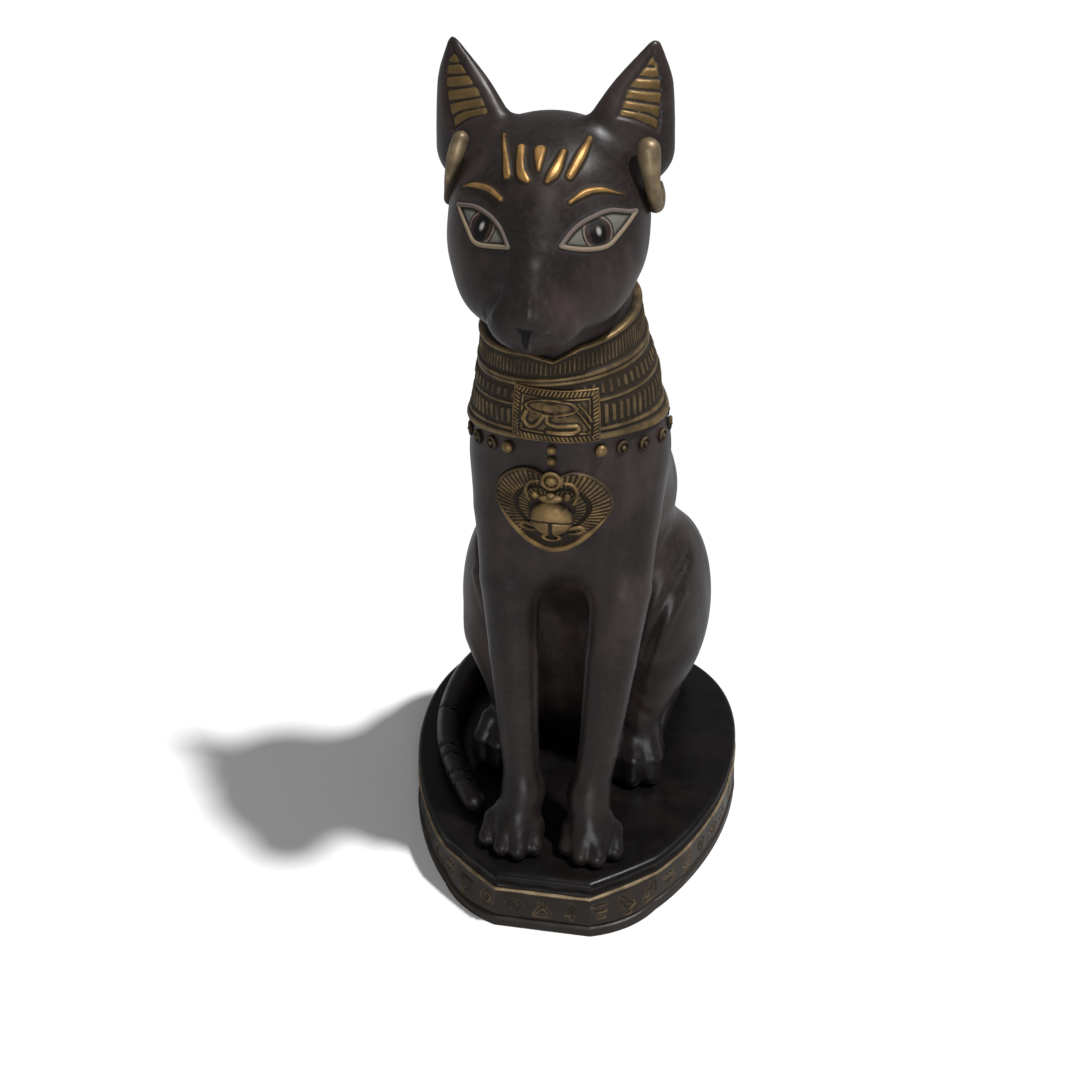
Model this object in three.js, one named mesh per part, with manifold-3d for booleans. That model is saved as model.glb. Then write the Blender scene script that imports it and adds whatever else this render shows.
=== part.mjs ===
// A seated cat in the ancient Egyptian manner, cast in one piece with its plinth.
// Millimetres, +Z up, the cat looks along -Y, the origin is the middle of the plinth's underside.
import * as THREE from "three";
import { mergeVertices } from "three/addons/utils/BufferGeometryUtils.js";
import Module from "manifold-3d";

const wasm = await Module();
wasm.setup();

// Driving dimensions
const FIGURE_HEIGHT = 160; // plinth top to ear tips
const PLINTH_HEIGHT = 14;
const PLINTH_WIDTH = 72;
const PLINTH_LENGTH = 83;
const PLINTH_FRONT_FLAT = 20; // width of the straight front edge
const BASE_MOULDING_HEIGHT = 2.1;
const BASE_MOULDING_OVERHANG = 0.5;
const GROOVE_DEPTH = 0.7;
const GROOVE_HEIGHT = 0.6;
const GOLD_LINE_HEIGHT = 9.4; // underside of the gold bead on the plinth's wall
const GOLD_LINE_WIDTH = 0.9;
const GOLD_LINE_RELIEF = 0.35;
const RIM_RADIUS = 1.2; // the plinth's rounded upper edge
const RIM_BULGE = 0.3; // belly of the plinth's front diagonals at its rim
const FOOT_BULGE = 2.2; // and at its foot
const COLLAR_THICKNESS = 1.1;
const COLLAR_LIP = 0.6; // what its upper and lower rims stand proud of the bands
const COLLAR_ROOT = 2.2; // how deep the collar runs into the neck
const PLAQUE_WIDTH = 16.4;
const PLAQUE_HEIGHT = 10.8;
const PLAQUE_RELIEF = 0.7; // over the collar's bands
const BEAD_DIAMETER = 2.6;
const PENDANT_WIDTH = 22.5;
const PENDANT_HEIGHT = 19.5;
const PENDANT_RELIEF = 1.5;
const SCARAB_LENGTH = 9.6;
const SCARAB_WIDTH = 8.2;
const EARRING_DIAMETER = 3.6;
const GOLD_STROKE_WIDTH = 1.7; // the forehead strokes and the brows
const GOLD_STROKE_RELIEF = 1.1;
const EYE_RIM_WIDTH = 0.95;
const EAR_INLAY_WIDTH = 6.4;
const EAR_INLAY_RELIEF = 0.8;

// The sculpt is laid out on a figure 160 units tall, from the plinth top up.
const UNIT = FIGURE_HEIGHT / 160;
const SKIN_BELOW_TOP = 4; // units that the casting runs down into its plinth

const smoothMin = (a, b, k) => {
  const h = Math.max(k - Math.abs(a - b), 0) / k;
  return Math.min(a, b) - (h * h * k) / 4;
};
const smoothMax = (a, b, k) => -smoothMin(-a, -b, k);

// Solids of the sculpt, each a function of x, y, z that is negative inside
const LIMB_BLEND = 2; // how softly a limb's tapers run into each other

// An ellipsoid, its upper end tipped back by pitch in degrees.
function ellipsoid([cx, cy, cz], [rx, ry, rz], pitch = 0) {
  const cos = Math.cos(THREE.MathUtils.degToRad(pitch));
  const sin = Math.sin(THREE.MathUtils.degToRad(pitch));
  return (x, y, z) => {
    const py = y - cy;
    const pz = z - cz;
    const qx = (x - cx) / rx;
    const qy = (cos * py + sin * pz) / ry;
    const qz = (cos * pz - sin * py) / rz;
    const near = Math.hypot(qx, qy, qz);
    const slope = Math.hypot(qx / rx, qy / ry, qz / rz);
    return near < 1e-6 ? -Math.min(rx, ry, rz) : (near * (near - 1)) / slope;
  };
}

// A limb: a chain of balls [x, y, z, radius] joined by straight tapers.
function limb(balls) {
  return (x, y, z) => {
    let least = Infinity;
    for (let i = 0; i + 1 < balls.length; i++) {
      const [ax, ay, az, ar] = balls[i];
      const [bx, by, bz, br] = balls[i + 1];
      const ux = bx - ax;
      const uy = by - ay;
      const uz = bz - az;
      const px = x - ax;
      const py = y - ay;
      const pz = z - az;
      const along = (px * ux + py * uy + pz * uz) / (ux * ux + uy * uy + uz * uz);
      const t = Math.min(Math.max(along, 0), 1);
      const reach = Math.hypot(px - t * ux, py - t * uy, pz - t * uz) - (ar + t * (br - ar));
      least = i ? smoothMin(least, reach, LIMB_BLEND) : reach;
    }
    return least;
  };
}

// Joins [solid, blend width] pairs in order, each melting into what came before it.
const melt = (pairs) => (x, y, z) => {
  let d = pairs[0][0](x, y, z);
  for (let i = 1; i < pairs.length; i++) {
    d = smoothMin(d, pairs[i][0](x, y, z), pairs[i][1]);
  }
  return d;
};

const SIDES = [-1, 1]; // -1 is the cat's right, on the viewer's left

// Head, in units from its own middle, which sits over the neck
const HEAD = new THREE.Vector3(-3.7, -12, 133);
const HEAD_TURN = THREE.MathUtils.degToRad(0.6); // the face looks this far to the cat's left
const HEAD_ROLL = THREE.MathUtils.degToRad(-2); // and the crown leans this far to its right
const HEAD_POSE = new THREE.Matrix4()
  .makeRotationFromEuler(new THREE.Euler(0, HEAD_ROLL, HEAD_TURN, "ZYX"))
  .setPosition(HEAD);
const fromHead = (x, y, z) => new THREE.Vector3(x, y, z).applyMatrix4(HEAD_POSE);
const HEAD_FORWARD = new THREE.Vector3(0, -1, 0).transformDirection(HEAD_POSE);
// A solid laid out in the head's own units, as it stands on the figure.
function turnedWithHead(solid) {
  const m = HEAD_POSE.clone().invert().elements;
  return (x, y, z) =>
    solid(
      m[0] * x + m[4] * y + m[8] * z + m[12],
      m[1] * x + m[5] * y + m[9] * z + m[13],
      m[2] * x + m[6] * y + m[10] * z + m[14],
    );
}

const EAR_FOOT = [12.3, 3, 8]; // middle of the ear where it leaves the skull, cat's left
const EAR_TIP = [17.5, 7, 26.5];
const EAR_TURN = THREE.MathUtils.degToRad(32); // the opening looks this far outwards
const EAR_WIDE = 8;
const EAR_DEEP = 4;
const EAR_TIP_RADIUS = 1.5;

// One ear: a flattened cone with a bowed outer edge, its sections lying along the line foot to tip.
function ear(side) {
  const foot = [side * EAR_FOOT[0], EAR_FOOT[1], EAR_FOOT[2]];
  const tip = [side * EAR_TIP[0], EAR_TIP[1], EAR_TIP[2]];
  const across = [side * Math.cos(EAR_TURN), Math.sin(EAR_TURN)];
  const face = [side * Math.sin(EAR_TURN), -Math.cos(EAR_TURN)];
  return (x, y, z) => {
    const t = Math.min(Math.max((z - foot[2]) / (tip[2] - foot[2]), -0.4), 1);
    const lean = Math.sign(t) * Math.abs(t) ** 1.6;
    const px = x - foot[0] - lean * (tip[0] - foot[0]);
    const py = y - foot[1] - t * (tip[1] - foot[1]);
    const wide = EAR_TIP_RADIUS + EAR_WIDE * (1 - t * t);
    const deep = EAR_TIP_RADIUS + EAR_DEEP * (1 - Math.max(t, 0)) ** 0.8;
    const u = (px * across[0] + py * across[1]) / wide;
    const v = (px * face[0] + py * face[1]) / deep;
    const section = (Math.hypot(u, v) - 1) * Math.min(wide, deep);
    const capped = smoothMax(section, z - tip[2], 1.4 * EAR_TIP_RADIUS);
    return 0.85 * smoothMax(capped, foot[2] - 5.5 - z, 5);
  };
}

const headSolids = [
  [ellipsoid([0, 1.5, 2], [16.8, 15.8, 13.8]), 0],
  [ellipsoid([0, -10, -7], [13, 11, 10]), 7],
  [ellipsoid([0, -17.2, -11.6], [8, 6.6, 5.8]), 4],
  [limb([[0, -8.5, 6.5, 5], [0, -16.8, -2, 4.1], [0, -21.6, -8.6, 2.6]]), 4],
  [ellipsoid([0, -22.8, -9.6], [3, 1.8, 1.8]), 1.5],
  [ellipsoid([0, -18, -15.4], [4.2, 4, 2.8]), 3],
];
for (const s of SIDES) {
  headSolids.push([ellipsoid([s * 8.2, -2.5, -5], [8.9, 12, 10.5]), 5]);
  headSolids.push([ellipsoid([s * 7, -9.5, -10.5], [6.4, 7.5, 5.6]), 4]);
  headSolids.push([ellipsoid([s * 3.2, -20.2, -12.4], [3.9, 3.7, 3.4]), 2.5]);
  headSolids.push([ear(s), 4]);
}

// Neck and trunk, from the floor of the plinth's top upwards
const NECK = [
  [-0.6, -6.4, 84, 17.6],
  [-0.9, -7.4, 97, 16.2],
  [-2, -8, 110, 13.8],
  [-3.4, -7, 122, 12.5],
];
const TRUNK = [
  [0.6, 18, 18, 19],
  [0.6, 12.5, 44, 17.5],
  [0.4, 5.8, 66, 19.1],
  [-0.2, -2.6, 80, 17.8],
];
const HIP_X = 0.9; // the hindquarters sit this far to the cat's left
const neck = limb(NECK);
const headField = melt([[turnedWithHead(melt(headSolids)), 0], [neck, 4]]);

function foreleg(s) {
  return limb([
    [s * 10.2, -9, 88, 7.2],
    [s * 10.8, -14, 72, 6.8],
    [s * 11, -17.5, 58, 6],
    [s * 10.2, -20.5, 42, 5.1],
    [s * 8.6, -24, 22, 4.5],
    [s * 7.9, -26.5, 11, 4.6],
  ]);
}
const PAW = [8, -30.2, 4];
const PAW_RADII = [6.1, 7.6, 5.2];
const HIND_PAW = [13.8, -5, 4.2];
const HIND_PAW_RADII = [5.6, 6.6, 5.4];
const bodySolids = [
  [limb(TRUNK), 0],
  [ellipsoid([HIP_X, 18.5, 20], [21, 18.5, 27]), 6],
  [neck, 6],
  [ellipsoid([-0.3, -9.8, 69.5], [15, 13, 16.5]), 5],
];
for (const s of SIDES) {
  const atHip = (x) => HIP_X + s * x;
  bodySolids.push([ellipsoid([atHip(16.8), 12, 34.5], [9.9, 17.5, 23], 18), 4]);
  bodySolids.push([limb([[atHip(14), 27, 6, 9], [atHip(15), 10, 5, 7], [atHip(15), -1, 4.5, 5.2]]), 4]);
  bodySolids.push([limb([[atHip(16.5), 2, 29, 8], [atHip(15.2), -1.5, 12, 5.2], [atHip(15), -3, 5, 5]]), 4]);
  bodySolids.push([ellipsoid([atHip(HIND_PAW[0]), HIND_PAW[1], HIND_PAW[2]], HIND_PAW_RADII), 3]);
  bodySolids.push([foreleg(s), 5]);
  bodySolids.push([ellipsoid([s * PAW[0], PAW[1], PAW[2]], PAW_RADII), 2]);
}
const bodyField = melt(bodySolids);
const neckAndTrunk = melt([[limb(TRUNK), 0], [neck, 6]]);

// Surface of a field as a mesh: one vertex in each cell that the skin crosses, set on the skin,
// and one quad for each grid line that it crosses. The cells may differ in size along each axis.
function skinMesh(field, xs, ys, zs) {
  const [nx, ny, nz] = [xs.length, ys.length, zs.length];
  const nodeAt = (i, j, k) => (k * ny + j) * nx + i;
  const value = new Float64Array(nx * ny * nz);
  for (let k = 0; k < nz; k++) {
    for (let j = 0; j < ny; j++) {
      for (let i = 0; i < nx; i++) {
        const rim = i === 0 || j === 0 || k === 0 || i === nx - 1 || j === ny - 1 || k === nz - 1;
        value[nodeAt(i, j, k)] = rim ? 1 : field(xs[i], ys[j], zs[k]);
      }
    }
  }
  const vertexOf = new Int32Array(nx * ny * nz).fill(-1);
  const points = [];
  for (let k = 0; k + 1 < nz; k++) {
    for (let j = 0; j + 1 < ny; j++) {
      for (let i = 0; i + 1 < nx; i++) {
        const sum = [0, 0, 0];
        let crossings = 0;
        for (let axis = 0; axis < 3; axis++) {
          for (let side = 0; side < 4; side++) {
            const from = [i, j, k];
            from[(axis + 1) % 3] += side & 1;
            from[(axis + 2) % 3] += side >> 1;
            const to = [...from];
            to[axis] += 1;
            const a = value[nodeAt(...from)];
            const b = value[nodeAt(...to)];
            if (a < 0 === b < 0) continue;
            const t = a / (a - b);
            crossings += 1;
            [xs, ys, zs].forEach((lines, n) => {
              sum[n] += lines[from[n]] + t * (lines[to[n]] - lines[from[n]]);
            });
          }
        }
        if (!crossings) continue;
        vertexOf[nodeAt(i, j, k)] = points.length;
        const size = Math.min(xs[i + 1] - xs[i], ys[j + 1] - ys[j], zs[k + 1] - zs[k]);
        points.push(settle(field, sum.map((total) => total / crossings), size));
      }
    }
  }
  const triangles = [];
  for (let k = 0; k + 1 < nz; k++) {
    for (let j = 0; j + 1 < ny; j++) {
      for (let i = 0; i + 1 < nx; i++) {
        for (let axis = 0; axis < 3; axis++) {
          const to = [i, j, k];
          to[axis] += 1;
          const inside = value[nodeAt(i, j, k)] < 0;
          if (inside === value[nodeAt(...to)] < 0) continue;
          const ring = [[0, 0], [1, 0], [1, 1], [0, 1]].map(([p, q]) => {
            const cell = [i, j, k];
            cell[(axis + 1) % 3] -= p;
            cell[(axis + 2) % 3] -= q;
            return vertexOf[nodeAt(...cell)];
          });
          if (!inside) ring.reverse();
          triangles.push(...splitQuad(points, ring));
        }
      }
    }
  }
  return solidFrom(points, triangles);
}

// Moves a point onto the skin along the field's slope, by at most half a cell.
function settle(field, start, size) {
  const p = [...start];
  const step = 0.02;
  for (let round = 0; round < 3; round++) {
    const d = field(...p);
    const slope = [0, 1, 2].map((n) => {
      const q = [...p];
      q[n] += step;
      return (field(...q) - d) / step;
    });
    const steep = slope[0] ** 2 + slope[1] ** 2 + slope[2] ** 2 + 1e-6;
    slope.forEach((g, n) => {
      const moved = p[n] - (d * g) / steep;
      p[n] = Math.min(Math.max(moved, start[n] - size / 2), start[n] + size / 2);
    });
  }
  return p;
}

// Cuts a quad along its shorter diagonal.
function splitQuad(points, [a, b, c, d]) {
  const span = (p, q) => Math.hypot(...points[p].map((v, n) => v - points[q][n]));
  return span(a, c) <= span(b, d) ? [a, b, c, a, c, d] : [a, b, d, b, c, d];
}

// Solid from flat positions in millimetres, and triangles by index.
function manifoldOf(positions, triangles) {
  return new wasm.Manifold(
    new wasm.Mesh({
      numProp: 3,
      vertProperties: new Float32Array(positions),
      triVerts: new Uint32Array(triangles),
    }),
  );
}

// Solid from points in units over the plinth's top, and triangles by index.
function solidFrom(points, triangles) {
  const positions = points.flatMap(([x, y, z]) => [x * UNIT, y * UNIT, z * UNIT + PLINTH_HEIGHT]);
  return manifoldOf(positions, triangles);
}

// Solid from a closed three.js geometry already in place, in millimetres.
function solidOfGeometry(geometry) {
  geometry.deleteAttribute("normal");
  geometry.deleteAttribute("uv");
  const merged = mergeVertices(geometry, 1e-4);
  return manifoldOf(merged.attributes.position.array, merged.index.array);
}

// Grid lines from one end to the other, as [start, step] runs and a last end.
function gridLines(runs, end) {
  const lines = [];
  runs.forEach(([start, step], n) => {
    const stop = n + 1 < runs.length ? runs[n + 1][0] : end;
    const count = Math.round((stop - start) / step);
    for (let i = 0; i < count; i++) lines.push(start + (i * (stop - start)) / count);
  });
  lines.push(end);
  return lines;
}

const EAR_TIPS = SIDES.map((side) => fromHead(side * EAR_TIP[0], EAR_TIP[1], EAR_TIP[2]));
const TIP_SPAN = (EAR_TIPS[1].x - EAR_TIPS[0].x) / 11; // grid lines run through both ear tips
const headSkin = skinMesh(
  headField,
  gridLines([[EAR_TIPS[0].x - 2 * TIP_SPAN, TIP_SPAN]], EAR_TIPS[1].x + 2 * TIP_SPAN),
  gridLines([[EAR_TIPS[0].y - 12 * TIP_SPAN, TIP_SPAN]], EAR_TIPS[0].y + 5 * TIP_SPAN),
  gridLines([[96, 3.3], [145, 2.4], [157, 1.2]], 162),
);
const bodySkin = skinMesh(
  bodyField,
  gridLines([[-34, 4.25]], 34),
  gridLines([[-42.4, 4.2]], 41),
  gridLines([[-SKIN_BELOW_TOP, 3.6], [14, 6.4], [50, 4], [66, 6]], 102),
);

// Plinth outline in millimetres: a straight front, two diagonals that belly out by bulge, and an oval
function plinthOutline(bulge) {
  const half = PLINTH_WIDTH / 2;
  const end = PLINTH_LENGTH / 2;
  const corner = [0.63 * half, -0.76 * end];
  const path = new THREE.Path();
  const middle = [(PLINTH_FRONT_FLAT / 2 + corner[0]) / 2 + bulge, (corner[1] - end) / 2 - bulge];
  path.moveTo(PLINTH_FRONT_FLAT / 2, -end);
  path.quadraticCurveTo(...middle, ...corner);
  path.bezierCurveTo(0.76 * half, -0.62 * end, half, -0.26 * end, half, 0.19 * end);
  path.bezierCurveTo(half, 0.68 * end, 0.72 * half, end, 0.2 * half, end);
  const right = path.curves.flatMap((curve, n) => {
    const steps = n === 0 ? 3 : 6;
    return curve.getPoints(steps).slice(n ? 1 : 0);
  });
  const left = right.map((p) => new THREE.Vector2(-p.x, p.y)).reverse();
  return [...right, ...left];
}

// The outline drawn in by an inset, square to each of its edges.
function insetOutline(outline, inset) {
  return outline.map((p, i) => {
    const before = outline[(i + outline.length - 1) % outline.length];
    const after = outline[(i + 1) % outline.length];
    const a = new THREE.Vector2(p.y - before.y, before.x - p.x).normalize();
    const b = new THREE.Vector2(after.y - p.y, p.x - after.x).normalize();
    const mitre = a.clone().add(b).divideScalar(1 + a.dot(b));
    return new THREE.Vector2(p.x - mitre.x * inset, p.y - mitre.y * inset);
  });
}

// Closed solid through rings of equal length, in millimetres, capped at both ends.
function loftSolid(rings, closed = false) {
  const n = rings[0].length;
  const positions = rings.flat().flatMap((p) => [p.x, p.y, p.z]);
  const index = [];
  const last = closed ? rings.length : rings.length - 1;
  for (let r = 0; r < last; r++) {
    const next = (r + 1) % rings.length;
    for (let i = 0; i < n; i++) {
      const j = (i + 1) % n;
      index.push(r * n + i, r * n + j, next * n + j, r * n + i, next * n + j, next * n + i);
    }
  }
  if (!closed) {
    for (const [ring, up] of [[0, false], [rings.length - 1, true]]) {
      const middle = new THREE.Vector3();
      rings[ring].forEach((p) => middle.addScaledVector(p, 1 / n));
      positions.push(middle.x, middle.y, middle.z);
      const hub = positions.length / 3 - 1;
      for (let i = 0; i < n; i++) {
        const j = (i + 1) % n;
        index.push(...(up ? [ring * n + i, ring * n + j, hub] : [ring * n + j, ring * n + i, hub]));
      }
    }
  }
  return manifoldOf(positions, index);
}

function plinth() {
  const wallInset = BASE_MOULDING_OVERHANG;
  const grooveInset = wallInset + GROOVE_DEPTH;
  const goldTop = GOLD_LINE_HEIGHT + GOLD_LINE_WIDTH;
  // height, how far in from the moulding's edge, and the belly of the diagonals
  const profile = [
    [0, 0, FOOT_BULGE],
    [BASE_MOULDING_HEIGHT, 0.1, FOOT_BULGE],
    [BASE_MOULDING_HEIGHT + 0.3, grooveInset, FOOT_BULGE],
    [BASE_MOULDING_HEIGHT + GROOVE_HEIGHT, wallInset, 0.8 * FOOT_BULGE],
    [GOLD_LINE_HEIGHT - 0.25, wallInset + 0.2, RIM_BULGE],
    [GOLD_LINE_HEIGHT, wallInset + 0.2 - GOLD_LINE_RELIEF, RIM_BULGE],
    [goldTop, wallInset + 0.2 - GOLD_LINE_RELIEF, RIM_BULGE],
    [goldTop + 0.25, grooveInset, RIM_BULGE],
    [PLINTH_HEIGHT - 0.6 * RIM_RADIUS, wallInset + 0.2, RIM_BULGE],
    [PLINTH_HEIGHT, wallInset + 0.3 + RIM_RADIUS, RIM_BULGE],
  ];
  return loftSolid(
    profile.map(([z, inset, bulge]) =>
      insetOutline(plinthOutline(bulge), inset).map((p) => new THREE.Vector3(p.x, p.y, z)),
    ),
  );
}

// Raised work set on the skin

// Where the ray from an inner point leaves the field's solid, in units.
function skinAlong(field, from, towards) {
  const direction = towards.clone().normalize();
  const at = (t) => from.clone().addScaledVector(direction, t);
  const value = (t) => field(...at(t).toArray());
  let near = 0;
  let far = 0.5;
  while (value(far) < 0 && far < 60) {
    near = far;
    far += 0.5;
  }
  for (let i = 0; i < 12; i++) {
    const middle = (near + far) / 2;
    if (value(middle) < 0) near = middle;
    else far = middle;
  }
  return at(near);
}

// Outward direction of the skin at a point.
function outwards(field, point) {
  const step = 0.05;
  const slope = [0, 1, 2].map((axis) => {
    const offset = new THREE.Vector3().setComponent(axis, step);
    const ahead = field(...point.clone().add(offset).toArray());
    const behind = field(...point.clone().sub(offset).toArray());
    return ahead - behind;
  });
  return new THREE.Vector3(...slope).normalize();
}

// A point in units over the plinth's top as millimetres from its underside.
const placed = (point) => point.clone().multiplyScalar(UNIT).add(new THREE.Vector3(0, 0, PLINTH_HEIGHT));

// A raised bar along points of the skin. Its widths are in millimetres, one for each point.
function strokeOnSkin(field, points, widths, relief, root = 1.2) {
  const rings = points.map((point, i) => {
    const before = points[Math.max(i - 1, 0)];
    const after = points[Math.min(i + 1, points.length - 1)];
    const along = after.clone().sub(before).normalize();
    const normal = outwards(field, point);
    const side = along.clone().cross(normal).normalize();
    const half = widths[i] / 2;
    const rise = relief * Math.min(1, widths[i] / Math.max(...widths) + 0.25);
    return [[half, -root], [0.6 * half, rise], [-0.6 * half, rise], [-half, -root]].map(
      ([across, out]) => placed(point).addScaledVector(side, across).addScaledVector(normal, out),
    );
  });
  return outward(rings);
}

// A loft whose rings may run either way round.
function outward(rings, closed = false) {
  const made = loftSolid(rings, closed);
  return made.volume() < 0 ? loftSolid(rings.map((ring) => [...ring].reverse()), closed) : made;
}

// A ball, stretched to its radii in millimetres and centred on a placed point.
function ballSolid(centre, radii, around, down) {
  const geometry = new THREE.SphereGeometry(1, around, down);
  geometry.scale(...radii);
  geometry.translate(...centre.toArray());
  return solidOfGeometry(geometry);
}

const smoothCurve = (points) => new THREE.CatmullRomCurve3(points.map((p) => new THREE.Vector3(...p)));

// Value of an evenly spaced list at a share of its length.
function blend(list, share) {
  const place = share * (list.length - 1);
  const low = Math.min(Math.floor(place), list.length - 2);
  return THREE.MathUtils.lerp(list[low], list[low + 1], place - low);
}

// A tube along a curve given in units, with radii in millimetres from end to end.
function taperedTube(curve, radii, steps, sides, facing) {
  const rings = [];
  for (let i = 0; i <= steps; i++) {
    const middle = placed(curve.getPoint(i / steps));
    const along = curve.getTangent(i / steps);
    const across = along.clone().cross(facing).normalize();
    const over = across.clone().cross(along).normalize();
    const radius = blend(radii, i / steps);
    rings.push(
      [...Array(sides).keys()].map((n) => {
        const angle = ((n + 0.5) * 2 * Math.PI) / sides;
        const arm = across.clone().multiplyScalar(Math.cos(angle)).addScaledVector(over, Math.sin(angle));
        return middle.clone().addScaledVector(arm, radius);
      }),
    );
  }
  return outward(rings);
}

// Toes: four on each paw, fanned about the paw's middle
function toes([px, py], [rx, ry], side, length, count) {
  return [...Array(count).keys()].map((n) => {
    const place = ((n - (count - 1) / 2) * 4) / count;
    const x = px * side + place * rx * 0.56;
    const y = py - ry * (0.66 - 0.1 * place * place);
    const centre = placed(new THREE.Vector3(x, y, 2.2));
    return ballSolid(centre, [2.05 * UNIT, length * UNIT, 3.2 * UNIT], 6, 3);
  });
}

// Tail: a tube that comes round the cat's right side and ends beside its forepaw
const TAIL = [
  [2, 29, 5],
  [-9, 33, 4.6],
  [-19, 31, 4],
  [-26, 21, 3.4],
  [-28.4, 9, 3],
  [-27.2, -3, 2.8],
  [-23, -13.6, 2.7],
  [-16.4, -24.4, 2.6],
];
const TAIL_RADII = [5, 4.6, 4.1, 3.5, 3.1, 2.9, 2.8, 2.5];
const TAIL_STEPS = 14;
function tail() {
  const radii = TAIL_RADII.map((radius) => radius * UNIT);
  return taperedTube(smoothCurve(TAIL), radii, TAIL_STEPS, 8, new THREE.Vector3(0, 0, 1));
}

// Collar: a ring about the neck whose bands follow the skin from its upper lip to its lower rim
const COLLAR_AXIS = new THREE.Vector3(-1.2, -6, 0);
const COLLAR_STEPS = 30;
const collarTop = (angle) =>
  110.9 + 1.5 * (1 - Math.cos(angle)) + 3 * Math.sin(angle) - 1.3 * Math.exp(-((angle / 0.16) ** 2));
const collarFoot = (angle) =>
  93.4 - 3 * Math.sin(angle) ** 2 + 0.8 * (1 - Math.cos(angle)) + 1.4 * Math.sin(angle);
// share of the way down from lip to rim, and how proud the surface is there
const LIP = COLLAR_THICKNESS + COLLAR_LIP;
const COLLAR_PROFILE = [
  [0, LIP],
  [0.08, LIP],
  [0.11, COLLAR_THICKNESS],
  [0.28, COLLAR_THICKNESS],
  [0.34, LIP],
  [0.4, COLLAR_THICKNESS],
  [0.82, COLLAR_THICKNESS],
  [0.86, LIP],
  [0.98, LIP],
];
function collarPoint(angle, share, proud) {
  const height = THREE.MathUtils.lerp(collarTop(angle), collarFoot(angle), share);
  const from = COLLAR_AXIS.clone().setZ(height);
  const direction = new THREE.Vector3(Math.sin(angle), -Math.cos(angle), 0);
  const skin = placed(skinAlong(neckAndTrunk, from, direction));
  return skin.addScaledVector(direction, proud);
}
function collar() {
  const rings = [];
  for (let i = 0; i < COLLAR_STEPS; i++) {
    const angle = (i * 2 * Math.PI) / COLLAR_STEPS - (i > COLLAR_STEPS / 2 ? 2 * Math.PI : 0);
    const outer = COLLAR_PROFILE.map(([share, proud]) => collarPoint(angle, share, proud));
    const inner = [collarPoint(angle, 0.98, -COLLAR_ROOT), collarPoint(angle, 0, -COLLAR_ROOT)];
    rings.push([...outer, ...inner]);
  }
  return outward(rings, true);
}

// Plaque on the front of the collar: a frame around a sunk field
const PLAQUE_MIDDLE = 99.2; // height of its centre in units
const PLAQUE_TURN = 0.035; // radians from the front of the neck
const PLAQUE_FRAME = 1.3;
const PLAQUE_SINK = 0.45;
const PLAQUE_BEVEL = 0.25;
function plaque() {
  const radius = collarPoint(PLAQUE_TURN, 0.6, 0).distanceTo(placed(COLLAR_AXIS.clone().setZ(PLAQUE_MIDDLE)));
  const halfTurn = PLAQUE_WIDTH / 2 / radius;
  const frameTurn = PLAQUE_FRAME / radius;
  const face = COLLAR_THICKNESS + PLAQUE_RELIEF;
  const sunk = face - PLAQUE_SINK;
  const half = PLAQUE_HEIGHT / 2 / UNIT;
  const inset = half - PLAQUE_FRAME / UNIT;
  const stations = [
    [-halfTurn, face],
    [frameTurn - halfTurn, face],
    [frameTurn - halfTurn + PLAQUE_BEVEL / radius, sunk],
    [halfTurn - frameTurn - PLAQUE_BEVEL / radius, sunk],
    [halfTurn - frameTurn, face],
    [halfTurn, face],
  ];
  const rings = stations.map(([turn, field]) => {
    const angle = PLAQUE_TURN + turn;
    const span = collarTop(0.5) - collarFoot(angle);
    const section = [
      [half, 0],
      [half, face],
      [inset, face],
      [inset - PLAQUE_BEVEL, field],
      [PLAQUE_BEVEL - inset, field],
      [-inset, face],
      [-half, face],
      [-half, 0],
    ];
    return section.map(([up, proud]) => collarPoint(angle, (collarTop(0.5) - PLAQUE_MIDDLE - up) / span, proud));
  });
  return outward(rings);
}

// Beads that hang below the collar's rim, and the two that carry the pendant
const BEAD_FIRST_TURN = 0.5;
const BEAD_LAST_TURN = 1.9; // the back of the collar is plain
const BEAD_PITCH = 4.4; // millimetres from bead to bead
function beads() {
  const made = [];
  const radius = BEAD_DIAMETER / 2;
  const pitch = BEAD_PITCH / collarPoint(Math.PI / 2, 1, 0).distanceTo(placed(COLLAR_AXIS.clone().setZ(90)));
  for (const side of SIDES) {
    for (let turn = BEAD_FIRST_TURN; turn < BEAD_LAST_TURN; turn += pitch) {
      made.push(ballSolid(collarPoint(side * turn, 1.13, 0.35), [radius, radius, radius], 4, 4));
    }
  }
  for (const share of [1.12, 1.27]) {
    made.push(ballSolid(collarPoint(0, share, 0.5), [0.75 * radius, 0.75 * radius, 0.75 * radius], 5, 4));
  }
  return made;
}

// Winged scarab pendant on the chest: a heart-like plate with two rows of feathers, and the beetle
const PENDANT_MIDDLE = [-1.1, 79];
const PENDANT_STEPS = 20;
function chestPoint(x, z, proud) {
  const from = new THREE.Vector3(x, -8, z);
  const skin = skinAlong(bodyField, from, new THREE.Vector3(0, -1, 0));
  const normal = outwards(bodyField, skin);
  return placed(skin).addScaledVector(normal, proud);
}
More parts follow.
